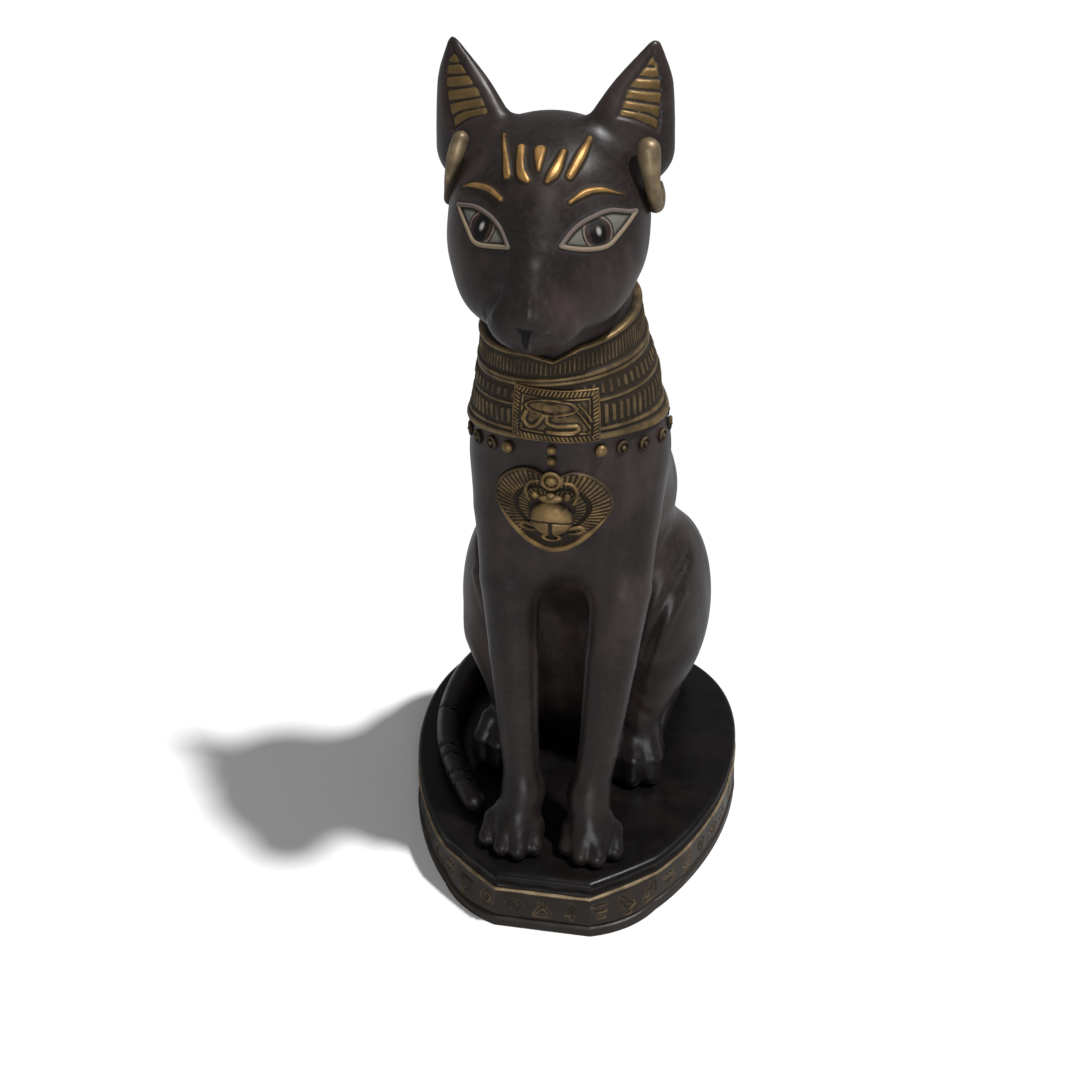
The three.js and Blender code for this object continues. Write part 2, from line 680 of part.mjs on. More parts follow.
// Edge of the plate: two lobes above, a rounded point below, as a share of its half width and height.
function pendantEdge(angle) {
  const lobes = 0.2 * Math.abs(Math.sin(angle)) ** 1.5 * Math.cos(angle);
  const notch = 0.3 * Math.exp(-((angle / 0.3) ** 2));
  return 1 + lobes - notch - 0.1 * Math.abs(Math.sin(2 * angle));
}
function pendantPlate() {
  const rows = [
    [1, -1.5],
    [1, PENDANT_RELIEF],
    [0.64, 0.8 * PENDANT_RELIEF],
    [0.6, PENDANT_RELIEF],
    [0.3, 0.7 * PENDANT_RELIEF],
  ];
  const rings = rows.map(([share, proud]) =>
    [...Array(PENDANT_STEPS).keys()].map((n) => {
      const angle = (n * 2 * Math.PI) / PENDANT_STEPS;
      const reach = share * pendantEdge(angle);
      const x = PENDANT_MIDDLE[0] + (reach * Math.sin(angle) * PENDANT_WIDTH) / 2 / UNIT;
      const z = PENDANT_MIDDLE[1] + (reach * Math.cos(angle) * PENDANT_HEIGHT) / 2 / UNIT;
      return chestPoint(x, z, proud);
    }),
  );
  return outward(rings);
}
const pendantSpot = (across, up, proud) =>
  chestPoint(PENDANT_MIDDLE[0] + across / UNIT, PENDANT_MIDDLE[1] + up / UNIT, proud);
function scarab() {
  const made = [
    ballSolid(pendantSpot(0, -1.6, 0.9), [SCARAB_WIDTH / 2, 2.2, SCARAB_LENGTH / 2], 10, 6),
    ballSolid(pendantSpot(0, 3.2, 1), [1.9, 1.5, 1.3], 6, 4),
    ballSolid(pendantSpot(0, 6.4, 1), [1.6, 1.2, 1.6], 7, 4),
  ];
  for (const side of SIDES) {
    const foreleg = [[2.2, 1.6], [4.4, 3.6], [4.2, 6], [1.9, 7.6]].map(([x, z]) => spotOnChest(side * x, z));
    made.push(strokeOnSkin(bodyField, foreleg, [0.9, 1, 0.9, 0.7], PENDANT_RELIEF + 0.8));
  }
  return made;
}
function spotOnChest(across, up) {
  const from = new THREE.Vector3(PENDANT_MIDDLE[0] + across / UNIT, -8, PENDANT_MIDDLE[1] + up / UNIT);
  return skinAlong(bodyField, from, new THREE.Vector3(0, -1, 0));
}

// Point of the face in front of a place given in the head's own units.
function facePoint(x, z) {
  return skinAlong(headField, fromHead(x, -1, z), HEAD_FORWARD);
}
function faceStroke(places, widths, relief) {
  const curve = smoothCurve(places.map(([x, z]) => [x, 0, z]));
  const count = places.length + 1;
  const points = [];
  const breadths = [];
  for (let i = 0; i < count; i++) {
    const t = i / (count - 1);
    const spot = curve.getPoint(t);
    points.push(facePoint(spot.x, spot.z));
    breadths.push(blend(widths, t));
  }
  return strokeOnSkin(headField, points, breadths, relief);
}

// Gold strokes on the brow, in the head's own units: foot and top of each, from the middle outwards
const BROW_FAN = [[[0, 10.2], [0, 13.8]], [[2.3, 9.2], [4.2, 13]], [[5.4, 9.8], [8.4, 13.6]]];
const EYEBROW = [[4.6, 7.2], [9.3, 8.3], [14.2, 6.2]];
const UPPER_LID = [[4.2, 0.8], [7, 3.6], [10.6, 4.9], [14.8, 3.4]];
const LOWER_LID = [[4.2, 0.6], [9.6, -0.4], [14.8, 3.2]];
function faceMarks() {
  const w = GOLD_STROKE_WIDTH;
  const made = [];
  for (const side of SIDES) {
    const turned = (places) => places.map(([x, z]) => [side * x, z]);
    BROW_FAN.slice(1).forEach((bar) => {
      made.push(faceStroke(turned(bar), [0.8 * w, w, 0.6 * w], GOLD_STROKE_RELIEF));
    });
    made.push(faceStroke(turned(EYEBROW), [0.6 * w, w, 0.5 * w], GOLD_STROKE_RELIEF));
    made.push(faceStroke(turned(UPPER_LID), [EYE_RIM_WIDTH, EYE_RIM_WIDTH], 0.7 * GOLD_STROKE_RELIEF));
    made.push(faceStroke(turned(LOWER_LID), [EYE_RIM_WIDTH, EYE_RIM_WIDTH], 0.7 * GOLD_STROKE_RELIEF));
  }
  made.push(faceStroke(BROW_FAN[0], [0.5 * w, w, 1.1 * w], GOLD_STROKE_RELIEF));
  return made;
}

// Inlay in the opening of each ear: a raised sheet that narrows towards the tip
const EAR_INLAY = [[14.8, 12.6], [15.4, 16], [16.2, 20], [17, 24]]; // along its middle, in the head's own units
const EAR_INLAY_TAPER = [1, 0.85, 0.55, 0.25];
function earInlay(side) {
  const points = EAR_INLAY.map(([x, z]) =>
    skinAlong(headField, fromHead(side * x, EAR_TIP[1] - 1.5, z), HEAD_FORWARD),
  );
  const widths = EAR_INLAY_TAPER.map((share) => share * EAR_INLAY_WIDTH);
  return strokeOnSkin(headField, points, widths, EAR_INLAY_RELIEF);
}

// Earrings: tapered horns that hang from the foot of each ear and curl up at their lower end
const EARRING = [
  [15, -3.2, 14.2],
  [16, -4, 10],
  [16.8, -3.8, 5.6],
  [17.2, -2.4, 1.8],
  [17.7, 0.2, 0.8],
  [17.8, 2.2, 2.8],
  [17, 2.8, 5.4],
];
const EARRING_TAPER = [0.75, 1, 0.85, 0.8, 0.8, 0.7, 0.5];
const EARRING_STEPS = 8;
function earring(side) {
  const curve = smoothCurve(EARRING.map(([x, y, z]) => fromHead(side * x, y, z).toArray()));
  const radii = EARRING_TAPER.map((share) => (share * EARRING_DIAMETER) / 2);
  return taperedTube(curve, radii, EARRING_STEPS, 6, new THREE.Vector3(side, 0.3, 0));
}

const pieces = [
  plinth(),
  bodySkin,
  headSkin,
  tail(),
  collar(),
  plaque(),
  ...beads(),
  pendantPlate(),
  ...scarab(),
  ...faceMarks(),
  ...SIDES.map(earInlay),
  ...SIDES.map(earring),
  ...SIDES.flatMap((s) => toes(PAW, PAW_RADII, s, 4, 4)),
  ...SIDES.flatMap((s) => toes([HIND_PAW[0] + s * HIP_X, HIND_PAW[1]], HIND_PAW_RADII, s, 3.5, 3)),
];
const figure = pieces.reduce((a, b) => a.add(b));

// The finished casting as one mesh
function meshOf(solid, name, colour, roughness, metalness) {
  const { vertProperties, triVerts } = solid.getMesh();
  const geometry = new THREE.BufferGeometry();
  geometry.setAttribute("position", new THREE.BufferAttribute(vertProperties, 3));
  geometry.setIndex(new THREE.BufferAttribute(triVerts, 1));
  geometry.computeVertexNormals();
  const material = new THREE.MeshStandardMaterial({ color: colour, roughness, metalness });
  const mesh = new THREE.Mesh(geometry, material);
  mesh.name = name;
  return mesh;
}

const group = new THREE.Group();
group.add(meshOf(figure, "cat_figure", 0x2a2422, 0.45, 0.25));

export default group;
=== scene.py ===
"""A seated bastet cat in bronzed resin on a low plinth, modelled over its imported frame.

Pieces are shaped in millimetres: x to the cat's left, y to its back, z up from the plinth's top.
settle() puts a finished piece in the frame, in metres.
"""

import math

import bpy
import numpy as np
from bpy.props import FloatProperty, FloatVectorProperty, PointerProperty
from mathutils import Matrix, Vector


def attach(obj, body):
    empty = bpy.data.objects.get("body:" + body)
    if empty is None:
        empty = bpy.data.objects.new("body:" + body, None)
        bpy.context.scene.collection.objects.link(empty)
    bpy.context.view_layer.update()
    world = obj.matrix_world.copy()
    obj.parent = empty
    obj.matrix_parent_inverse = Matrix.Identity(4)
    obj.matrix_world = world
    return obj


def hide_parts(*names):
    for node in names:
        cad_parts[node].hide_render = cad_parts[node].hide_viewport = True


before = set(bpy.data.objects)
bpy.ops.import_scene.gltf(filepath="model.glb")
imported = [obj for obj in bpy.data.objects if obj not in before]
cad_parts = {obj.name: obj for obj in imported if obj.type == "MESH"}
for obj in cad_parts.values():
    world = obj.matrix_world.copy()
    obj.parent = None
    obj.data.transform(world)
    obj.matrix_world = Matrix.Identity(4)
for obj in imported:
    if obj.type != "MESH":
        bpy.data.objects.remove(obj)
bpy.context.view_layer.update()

bl_info = {
    "name": "Bastet cat figure",
    "version": (1, 0, 0),
    "blender": (4, 5, 0),
    "location": "View3D > Sidebar > Bastet cat",
    "description": "Models a seated bronzed resin cat with collar, pendant, earrings and plinth",
    "category": "Add Mesh",
}

SIDES = (-1, 1)  # -1 is the cat's right
FAR = 9.0  # a mark further off than this many millimetres isn't measured
UP = np.array([0.0, 0.0, 1.0])

# Plinth, as the frame has it
PLINTH_HEIGHT = 14.0
PLINTH_HALF_WIDTH = 36.0
PLINTH_HALF_LENGTH = 41.5
PLINTH_FRONT_FLAT = 20.0
FOOT_BULGE = 2.2
RIM_BULGE = 0.3
WALL_FOOT = 2.9
GOLD_LINE_MIDDLE = 9.85

# Pose of the head over the plinth's top
HEAD_MIDDLE = np.array([-3.7, -12.0, 133.0])
HEAD_TURN = math.radians(0.6)
HEAD_ROLL = math.radians(-2.0)

# Ears, in the head's own frame on the cat's left
EAR_FOOT = np.array([11.3, 3.0, 8.0])
EAR_TIP = np.array([17.4, 9.5, 26.6])
EAR_TURN = math.radians(32.0)
EAR_WIDE = 10.2
EAR_DEEP = 4.2
EAR_TIP_RADIUS = 0.75
EAR_NARROWING = 0.68  # powers by which an ear gets narrower and thinner towards its tip
EAR_THINNING = 0.8
EAR_ROOT = 5.5  # how far an ear reaches into the skull below its foot
POINT_START = 0.6  # share of the ear's height above which it is drawn to a point
POINT_PULL = 0.48

# Balls along the neck and the trunk: x, y, z, radius
NECK = ((-0.6, -6.4, 84, 17.6), (-0.9, -7.4, 97, 16.2), (-2, -8, 110, 13.8), (-3.4, -7, 122, 12.5))
TRUNK = ((0.6, 18, 18, 19), (0.6, 12.5, 44, 17.5), (0.4, 5.8, 66, 19.1), (-0.2, -2.6, 80, 17.8))
HIP_X = 0.9
BODY_TOP = 103.0
HEAD_CUT = -34.0
CAT_TOP = 159.95

# Toes: where each touches the plinth in front
FORE_TOES = ((-12.9, -34.4), (-9.4, -36.7), (-6.0, -37.2), (-3.0, -35.4),
             (3.7, -34.4), (6.9, -36.6), (10.3, -36.7), (13.5, -33.9))
HIND_TOES = ((11.0, -9.6), (14.4, -11.4), (18.2, -10.0),
             (-11.6, -9.6), (-15.2, -11.4), (-18.8, -9.6))

# Forelegs from the shoulder down: balls of the cat's right leg, then of its left
FORELEGS = (
    ((-10.2, -9, 88, 7.2), (-10.6, -14, 72, 6.8), (-10.4, -17.5, 58, 5.9),
     (-9.2, -20.5, 42, 4.9), (-7.6, -24, 22, 3.9), (-6.3, -26.5, 11, 3.8)),
    ((10.2, -9, 88, 7.2), (11, -14, 72, 6.8), (11.5, -17.5, 58, 5.9),
     (10.2, -20.5, 42, 5.1), (8.7, -24, 22, 4.0), (7.2, -26.5, 11, 3.8)),
)
PAW_MIDDLES = (-7.2, 7.9)

TAIL = ((2, 29, 5), (-9, 33, 4.6), (-19, 31, 4), (-26, 21, 3.4),
        (-28.4, 9, 3), (-27.2, -3, 2.8), (-23, -13.6, 2.7), (-16.4, -24.4, 2.6))
TAIL_RADII = (5, 4.6, 4.1, 3.5, 3.1, 2.9, 2.8, 2.6)


# Soft solids: each gap is the distance to a surface, negative inside


def soft_union(a, b, width):
    near = np.maximum(width - np.abs(a - b), 0) / max(width, 1e-6)
    return np.minimum(a, b) - near * near * width / 4


def ball_gap(points, centre, radii, pitch):
    x, y, z = (points - np.asarray(centre)).T
    cos, sin = math.cos(pitch), math.sin(pitch)
    q = np.stack([x, cos * y + sin * z, cos * z - sin * y], axis=1) / np.asarray(radii)
    near = np.linalg.norm(q, axis=1) + 1e-9
    slope = np.linalg.norm(q / np.asarray(radii), axis=1) + 1e-9
    return near * (near - 1) / slope


def limb_gap(points, balls):
    gap = np.full(len(points), 1e3)
    for (*a, a_radius), (*b, b_radius) in zip(balls, balls[1:]):
        along = np.subtract(b, a)
        t = np.clip((points - a) @ along / (along @ along), 0, 1)
        off = np.linalg.norm(points - a - t[:, None] * along, axis=1)
        gap = soft_union(gap, off - (a_radius + t * (b_radius - a_radius)), 0.4)
    return gap


def ear_slice(t):
    """Middle and half sizes of the ear's section at share t of the way up, in the head's frame."""
    left = 1 - np.maximum(t, 0)
    reach = EAR_TIP - EAR_FOOT
    x = EAR_FOOT[0] + reach[0] * (1 - left + 0.5 * np.minimum(t, 0))
    y = EAR_FOOT[1] + reach[1] * t
    wide = EAR_TIP_RADIUS + EAR_WIDE * left**EAR_NARROWING
    deep = EAR_TIP_RADIUS + EAR_DEEP * left**EAR_THINNING
    return x, y, wide, deep


def ear_gap(points, side):
    x, y, z = points.T
    t = np.clip((z - EAR_FOOT[2]) / (EAR_TIP[2] - EAR_FOOT[2]), -0.4, 1)
    middle_x, middle_y, wide, deep = ear_slice(t)
    across, back = side * x - middle_x, y - middle_y
    cos, sin = math.cos(EAR_TURN), math.sin(EAR_TURN)
    ring = np.hypot((across * cos + back * sin) / wide, (across * sin - back * cos) / deep)
    gap = (ring - 1) * np.minimum(wide, deep)
    gap = -soft_union(-gap, EAR_TIP[2] - z, 1.4 * EAR_TIP_RADIUS)
    return -0.85 * soft_union(-gap, z - EAR_FOOT[2] + EAR_ROOT, 5.0)


def ball(centre, radii, blend, pitch=0.0):
    return "ball", blend, centre, radii, math.radians(pitch)


def limb(balls, blend):
    return "limb", blend, balls


def head_frame():
    turn = np.array([
        [math.cos(HEAD_TURN), -math.sin(HEAD_TURN), 0],
        [math.sin(HEAD_TURN), math.cos(HEAD_TURN), 0],
        [0, 0, 1],
    ])
    roll = np.array([
        [math.cos(HEAD_ROLL), 0, math.sin(HEAD_ROLL)],
        [0, 1, 0],
        [-math.sin(HEAD_ROLL), 0, math.cos(HEAD_ROLL)],
    ])
    return turn @ roll


HEAD_AXES = head_frame()


def from_head(points):
    return np.asarray(points, float) @ HEAD_AXES.T + HEAD_MIDDLE


def to_head(points):
    return (np.asarray(points) - HEAD_MIDDLE) @ HEAD_AXES


def head_lumps():
    lumps = [
        ball((0, 1.5, 2), (16.8, 15.8, 13.8), 0),
        ball((0, -10, -7), (13, 11, 10), 7),
        ball((0, -17.2, -11.6), (8, 6.6, 5.8), 4),
        limb([(0, -8.5, 6.5, 5), (0, -16.8, -2, 4.1), (0, -21.6, -8.6, 2.6)], 4),
        ball((0, -22.8, -9.6), (3, 1.8, 1.8), 1.5),
        ball((0, -18, -15.4), (4.2, 4, 2.8), 3),
    ]
    for side in SIDES:
        lumps += [
            ball((side * 8.2, -2.5, -5), (8.9, 12, 10.5), 5),
            ball((side * 7, -9.5, -10.5), (6.4, 7.5, 5.6), 4),
            ball((side * 3.2, -20.2, -12.4), (3.9, 3.7, 3.4), 2.5),
            ("ear", 2, side),
        ]
    return lumps + [limb([(*to_head(place), radius) for *place, radius in NECK[1:]], 1.5)]


def body_lumps():
    lumps = [
        limb(TRUNK, 0),
        ball((HIP_X, 18.5, 20), (21, 18.5, 27), 6),
        limb(NECK[:3], 6),
        ball((-0.3, -9.8, 69.5), (15, 13, 16.5), 5),
    ]
    for side in SIDES:
        hip = [HIP_X + side * x for x in (16.8, 14, 13.8, 16.3, 14.0, 13.6)]
        number = SIDES.index(side)
        foreleg, paw = FORELEGS[number], PAW_MIDDLES[number]
        lumps += [
            ball((hip[0], 12, 34.5), (9.9, 17.5, 23), 4, 18),
            limb([(hip[1], 27, 6, 8.4), (hip[2], 10, 4.6, 5.6), (hip[2], -1, 4.3, 4.6)], 4),
            limb([(hip[3], 2, 29, 7.8), (hip[4], -2, 14, 4.5), (hip[4], -3.4, 6, 4.6)], 4),
            ball((hip[5], -4.8, 4.4), (5.0, 5.6, 4.8), 3),
            limb(foreleg, 5),
            limb([foreleg[-1], (paw, -29.5, 5.4, 4.1)], 3),
            ball((paw, -29.8, 2.4), (5.6, 5.6, 3.7), 2),
        ]
    for (x, y), paw in zip(FORE_TOES, [PAW_MIDDLES[0]] * 4 + [PAW_MIDDLES[1]] * 4):
        knuckle = (0.85 * x + 0.15 * paw, y + 5.2, 4.6, 2.0)
        lumps += [
            limb([(0.5 * (x + paw), -28.6, 7.0, 2.1), knuckle], 1.6),
            limb([knuckle, (x, y + 2.0, 2.1, 1.95)], 0.9),
        ]
    for x, y in HIND_TOES:
        toe = [(0.93 * x, -4.6, 10.4, 2.2), (x, y + 3.2, 6.4, 2.3), (x, y + 2.1, 2.4, 2.2)]
        lumps.append(limb(toe, 0.8))
    return lumps


def skin_gap(points, lumps):
    gap = np.full(len(points), 1e3)
    for kind, blend, *form in lumps:
        measure = {"ball": ball_gap, "limb": limb_gap, "ear": ear_gap}[kind]
        gap = soft_union(gap, measure(points, *form), blend)
    return gap


def head_gap(points):
    return skin_gap(points, HEAD_LUMPS)


def body_gap(points):
    return skin_gap(points, BODY_LUMPS)


def neck_gap(points):
    return skin_gap(points, NECK_LUMPS)


HEAD_LUMPS = head_lumps()
BODY_LUMPS = body_lumps()
SHOULDERS = [lump for lump in BODY_LUMPS if lump[0] == "limb" and lump[2] in FORELEGS]
NECK_LUMPS = [limb(TRUNK[2:], 0), limb(NECK, 6), BODY_LUMPS[3], *SHOULDERS]


# Places on the skin


def smooth_path(places, steps):
    """Points of a smooth curve through places, any number of coordinates each."""
    p = np.asarray(places, float)
    p = np.vstack([2 * p[0] - p[1], p, 2 * p[-1] - p[-2]])
    u = np.linspace(0, len(places) - 1 - 1e-9, steps)
    k = u.astype(int)
    t = (u - k)[:, None]
    a, b, c, d = p[k], p[k + 1], p[k + 2], p[k + 3]
    return b + 0.5 * t * (c - a + t * (2 * a - 5 * b + 4 * c - d + t * (3 * (b - c) + d - a)))


def narrowed(gap, base, way, outside, inside, rounds):
    """Closes in on a surface between a reach outside it and one inside it."""
    for _ in range(rounds):
        middle = (outside + inside) / 2
        hit = gap(base + middle[:, None] * way) < 0
        inside = np.where(hit, middle, inside)
        outside = np.where(hit, outside, middle)
    return outside, inside


def first_touch(starts, gap, reach, step=1.0):
    """Where rays from starts towards the cat's back first meet a surface."""
    way = np.array([0.0, 1.0, 0.0])
    run = np.arange(0, reach, step)
    spots = starts[:, None, :] + run[None, :, None] * way
    gaps = gap(spots.reshape(-1, 3)).reshape(len(starts), len(run))
    far = run[np.maximum(np.argmax(gaps < 0, axis=1), 1)]
    near, _ = narrowed(gap, starts, way, far - step, far, 9)
    return starts + near[:, None] * way


RAY_START = -32.0  # y in front of the whole face and chest


def on_face(places):
    """Points on the skin of the face, from their x and z in the head's frame."""
    places = np.asarray(places, float)
    starts = np.column_stack([places[:, 0], np.full(len(places), RAY_START), places[:, 1]])
    return first_touch(starts, head_gap, 48)


def on_chest(x, z):
    starts = np.column_stack([x, np.full(len(x), RAY_START), z])
    return first_touch(starts, lambda p: skin_gap(p, CHEST_LUMPS), 24, 2.0)


CHEST_LUMPS = [limb(TRUNK[2:], 0), limb(NECK[:2], 6), BODY_LUMPS[3], *SHOULDERS]


def collar_top(angle):
    return 110.9 + 1.5 * (1 - np.cos(angle)) + 3 * np.sin(angle)


def collar_foot(angle):
    return 93.4 - 3 * np.sin(angle) ** 2 + 0.8 * (1 - np.cos(angle)) + 1.4 * np.sin(angle)


COLLAR_AXIS = np.array([-1.2, -6.0, 0.0])
COLLAR_REACH = (40.0, 3.0)  # distances from that axis, one outside the neck and one inside it
STROKE_REACH = 4  # millimetres around a stroke in which it is measured


def around_neck(angle, height, proud):
    """Points that stand proud of the neck, by their direction from its front and their height."""
    way = np.column_stack([np.sin(angle), -np.cos(angle), np.zeros_like(angle)])
    base = COLLAR_AXIS + height[:, None] * UP
    reach = [np.full(len(angle), distance) for distance in COLLAR_REACH]
    outside, inside = narrowed(neck_gap, base, way, *reach, 16)
    return base + ((inside + outside) / 2 + proud)[:, None] * way


def far_off(points):
    """What a gap is until something near is measured."""
    return np.full(len(points), FAR)


def stroke_gap(points, path, radii):
    """Distance to a stroke along path, negative inside it; FAR where it is well off."""
    gap = far_off(points)
    near = np.all((points > path.min(0) - STROKE_REACH) & (points < path.max(0) + STROKE_REACH), axis=1)
    some = points[near]
    least = far_off(some)
    for a, b, a_radius, b_radius in zip(path, path[1:], radii, radii[1:]):
        along = b - a
        t = np.clip((some - a) @ along / max(along @ along, 1e-9), 0, 1)
        off = np.linalg.norm(some - a - t[:, None] * along, axis=1)
        least = np.minimum(least, off - (a_radius + t * (b_radius - a_radius)))
    gap[near] = least
    return gap


def strokes_gap(points, strokes):
    """Distance to the nearest of some strokes, given as paths and radii."""
    gap = far_off(points)
    for path, radii in strokes:
        gap = np.minimum(gap, stroke_gap(points, path, radii))
    return gap


def fade(value, start, end):
    t = np.clip((value - start) / (end - start), 0, 1)
    return t * t * (3 - 2 * t)


def quarter_round(share):
    """Height of a quarter circle, from 0 at share 0 to 1 at share 1."""
    return np.sqrt(1 - (1 - np.clip(share, 0, 1)) ** 2)


def stripes(run, pitch):
    """The number of the stripe at each run, and the distance to that stripe's middle."""
    number = np.floor(run / pitch)
    return number, np.abs(run / pitch - number - 0.5) * pitch


def from_front(angle):
    """Angles of a whole turn as angles between minus and plus half a turn."""
    return np.where(angle > math.pi, angle - 2 * math.pi, angle)


def spread(values, steps):
    return np.interp(np.linspace(0, 1, steps), np.linspace(0, 1, len(values)), values)


def run_along(path):
    """Length of path from its start to each of its points."""
    return np.concatenate([[0], np.cumsum(np.linalg.norm(np.diff(path, axis=0), axis=1))])


# Mesh work


def vectors(items, name):
    """One vector property of all items, as an array of rows."""
    flat = np.empty(len(items) * 3, np.float32)
    items.foreach_get(name, flat)
    return flat.reshape(-1, 3).astype(float)


def points_of(piece):
    return vectors(piece.data.vertices, "co")


def put_points(piece, points):
    piece.data.vertices.foreach_set("co", np.asarray(points, np.float32).ravel())
    piece.data.update()


def normals_of(piece):
    return vectors(piece.data.vertex_normals, "vector")


def paint(piece, name, values):
    layer = piece.data.attributes.new(name, "FLOAT", "POINT")
    layer.data.foreach_set("value", np.asarray(values, np.float32))


def painted(piece, name):
    values = np.empty(len(piece.data.vertices), np.float32)
    piece.data.attributes[name].data.foreach_get("value", values)
    return values.astype(float)


def choose(pieces):
    if bpy.context.object and bpy.context.object.mode != "OBJECT":
        bpy.ops.object.mode_set(mode="OBJECT")
    bpy.ops.object.select_all(action="DESELECT")
    for piece in pieces:
        piece.select_set(True)
    bpy.context.view_layer.objects.active = pieces[0]


def in_edit_mode(piece, work):
    choose([piece])
    bpy.ops.object.mode_set(mode="EDIT")
    bpy.ops.mesh.select_all(action="SELECT")
    work()
    bpy.ops.object.mode_set(mode="OBJECT")


def joined(name, pieces):
    choose(pieces)
    bpy.ops.object.transform_apply(location=True, rotation=True, scale=True)
    if len(pieces) > 1:
        bpy.ops.object.join()
    piece = bpy.context.object
    piece.name = name
    piece.data.name = name
    return piece


def modify(piece, kind, **settings):
    choose([piece])
    modifier = piece.modifiers.new(kind.title(), kind)
    for key, value in settings.items():
        setattr(modifier, key, value)
    bpy.ops.object.modifier_apply(modifier=modifier.name)


def add_ball(centre, radii, pitch=0.0, turn=0.0, segments=24, rings=12):
    bpy.ops.object.select_all(action="DESELECT")
    bpy.ops.mesh.primitive_uv_sphere_add(
        segments=segments, ring_count=rings, radius=1, location=centre, rotation=(pitch, 0, turn)
    )
    lump = bpy.context.object
    lump.scale = radii
    return lump


def add_ring(place, radius, thickness, turn=0.0, segments=(48, 14)):
    """A round ring that stands upright and faces the front where turn is 0."""
    bpy.ops.object.select_all(action="DESELECT")
    bpy.ops.mesh.primitive_torus_add(
        major_segments=segments[0], minor_segments=segments[1], major_radius=radius,
        minor_radius=thickness, location=place, rotation=(math.pi / 2, 0, turn),
    )
    return bpy.context.object


def add_sheet(name, columns, rows):
    """A flat sheet to be laid over a surface, and its points, from -1 to 1 across and up."""
    bpy.ops.object.select_all(action="DESELECT")
    bpy.ops.mesh.primitive_grid_add(x_subdivisions=columns, y_subdivisions=rows, size=2)
    piece = joined(name, [bpy.context.object])
    return piece, points_of(piece)


def sheet_steps(local, count):
    """The number of each point's column or row, from its place from -1 to 1."""
    return np.rint((local + 1) / 2 * count).astype(int)


def add_limb(balls):
    """Round-ended tapers between balls, each the hull of its two ends."""
    tapers = []
    for (*a, a_radius), (*b, b_radius) in zip(balls, balls[1:]):
        ends = [add_ball(a, [a_radius] * 3), add_ball(b, [b_radius] * 3)]
        taper = joined("taper", ends)
        in_edit_mode(taper, bpy.ops.mesh.convex_hull)
        tapers.append(taper)
    return joined("limb", tapers)


def add_ear(side):
    slices = []
    for t in np.linspace(-0.1, 0.95, 13):
        x, y, wide, deep = ear_slice(t)
        z = EAR_FOOT[2] + t * (EAR_TIP[2] - EAR_FOOT[2])
        slices.append(add_ball((side * x, y, z), (wide, deep, 1.8), turn=side * EAR_TURN))
    return joined("ear", slices)


def sculpted(name, lumps, gap, cell):
    """One even skin over rough lumps, drawn onto the sculpt's surface."""
    rough = []
    for kind, _, *form in lumps:
        rough.append({"ball": add_ball, "limb": add_limb, "ear": add_ear}[kind](*form))
    piece = joined(name, rough)
    for _ in range(2):
        piece.data.remesh_voxel_size = cell
        choose([piece])
        bpy.ops.object.voxel_remesh()
        modify(piece, "SMOOTH", factor=0.5, iterations=2)
        cling(piece, gap, 4)
    modify(piece, "SUBSURF", levels=1, render_levels=1)
    cling(piece, gap, 2)
    return piece


def cling(piece, gap, rounds):
    for _ in range(rounds):
        points = points_of(piece)
        move = np.clip(0.9 * gap(points), -1.2, 1.2)
        put_points(piece, points - normals_of(piece) * move[:, None])


def within(points, region):
    """Which points are in a region, given as bounds of the distance off the middle, of y and of z."""
    low, high = np.array(region).T
    spots = np.column_stack([np.abs(points[:, 0]), points[:, 1:]])
    return np.all((spots > low) & (spots < high), axis=1)


def refine(piece, *regions):
    """Splits the faces whose middle is in one of the regions."""
    middles = vectors(piece.data.polygons, "center")
    mask = np.any([within(middles, region) for region in regions], axis=0)
    choose([piece])
    bpy.context.tool_settings.mesh_select_mode = (False, False, True)
    bpy.ops.object.mode_set(mode="EDIT")
    bpy.ops.mesh.select_all(action="DESELECT")
    bpy.ops.object.mode_set(mode="OBJECT")
    piece.data.polygons.foreach_set("select", mask)
    bpy.ops.object.mode_set(mode="EDIT")
    bpy.ops.mesh.subdivide(number_cuts=1)
    bpy.ops.object.mode_set(mode="OBJECT")


def face_outwards(piece):
    in_edit_mode(piece, lambda: bpy.ops.mesh.normals_make_consistent(inside=False))


def close_seams(piece):
    in_edit_mode(piece, lambda: bpy.ops.mesh.remove_doubles(threshold=0.001))
    face_outwards(piece)


def add_rod(name, path, radii, sides):
    """A round rod through path with its own radius at each point, as a mesh."""
    curve = bpy.data.curves.new(name, "CURVE")
    curve.dimensions = "3D"
    curve.bevel_depth = 1.0
    curve.bevel_resolution = sides // 4 - 1
    curve.use_fill_caps = True
    line = curve.splines.new("POLY")
    line.points.add(len(path) - 1)
    line.points.foreach_set("co", np.column_stack([path, np.ones(len(path))]).ravel())
    line.points.foreach_set("radius", np.asarray(radii, float))
    rod = bpy.data.objects.new(name, curve)
    bpy.context.collection.objects.link(rod)
    choose([rod])
    bpy.ops.object.convert(target="MESH")
    rod = bpy.context.object
    face_outwards(rod)
    return rod


def round_ended(radii, path, both=True):
    """Radii that close to a dome at the last end of path, or at both."""
    run = run_along(path)
    radii = np.array(radii, float)
    if both:
        radii *= quarter_round(np.maximum(run / radii[0], 0.02))
    return radii * quarter_round(np.maximum((run[-1] - run) / radii[-1], 0.02))


def settle(piece, finish):
    """Puts a finished piece in the frame, in metres, gives it its finish, hangs it on the root body and hides
    the imported cat figure.
    """
    put_points(piece, (points_of(piece) + PLINTH_HEIGHT * UP) / 1000)
    piece.data.materials.clear()
    piece.data.materials.append(finish)
    choose([piece])
    bpy.ops.object.shade_smooth()
    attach(piece, "root")
    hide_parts("cat_figure")


# Shader work


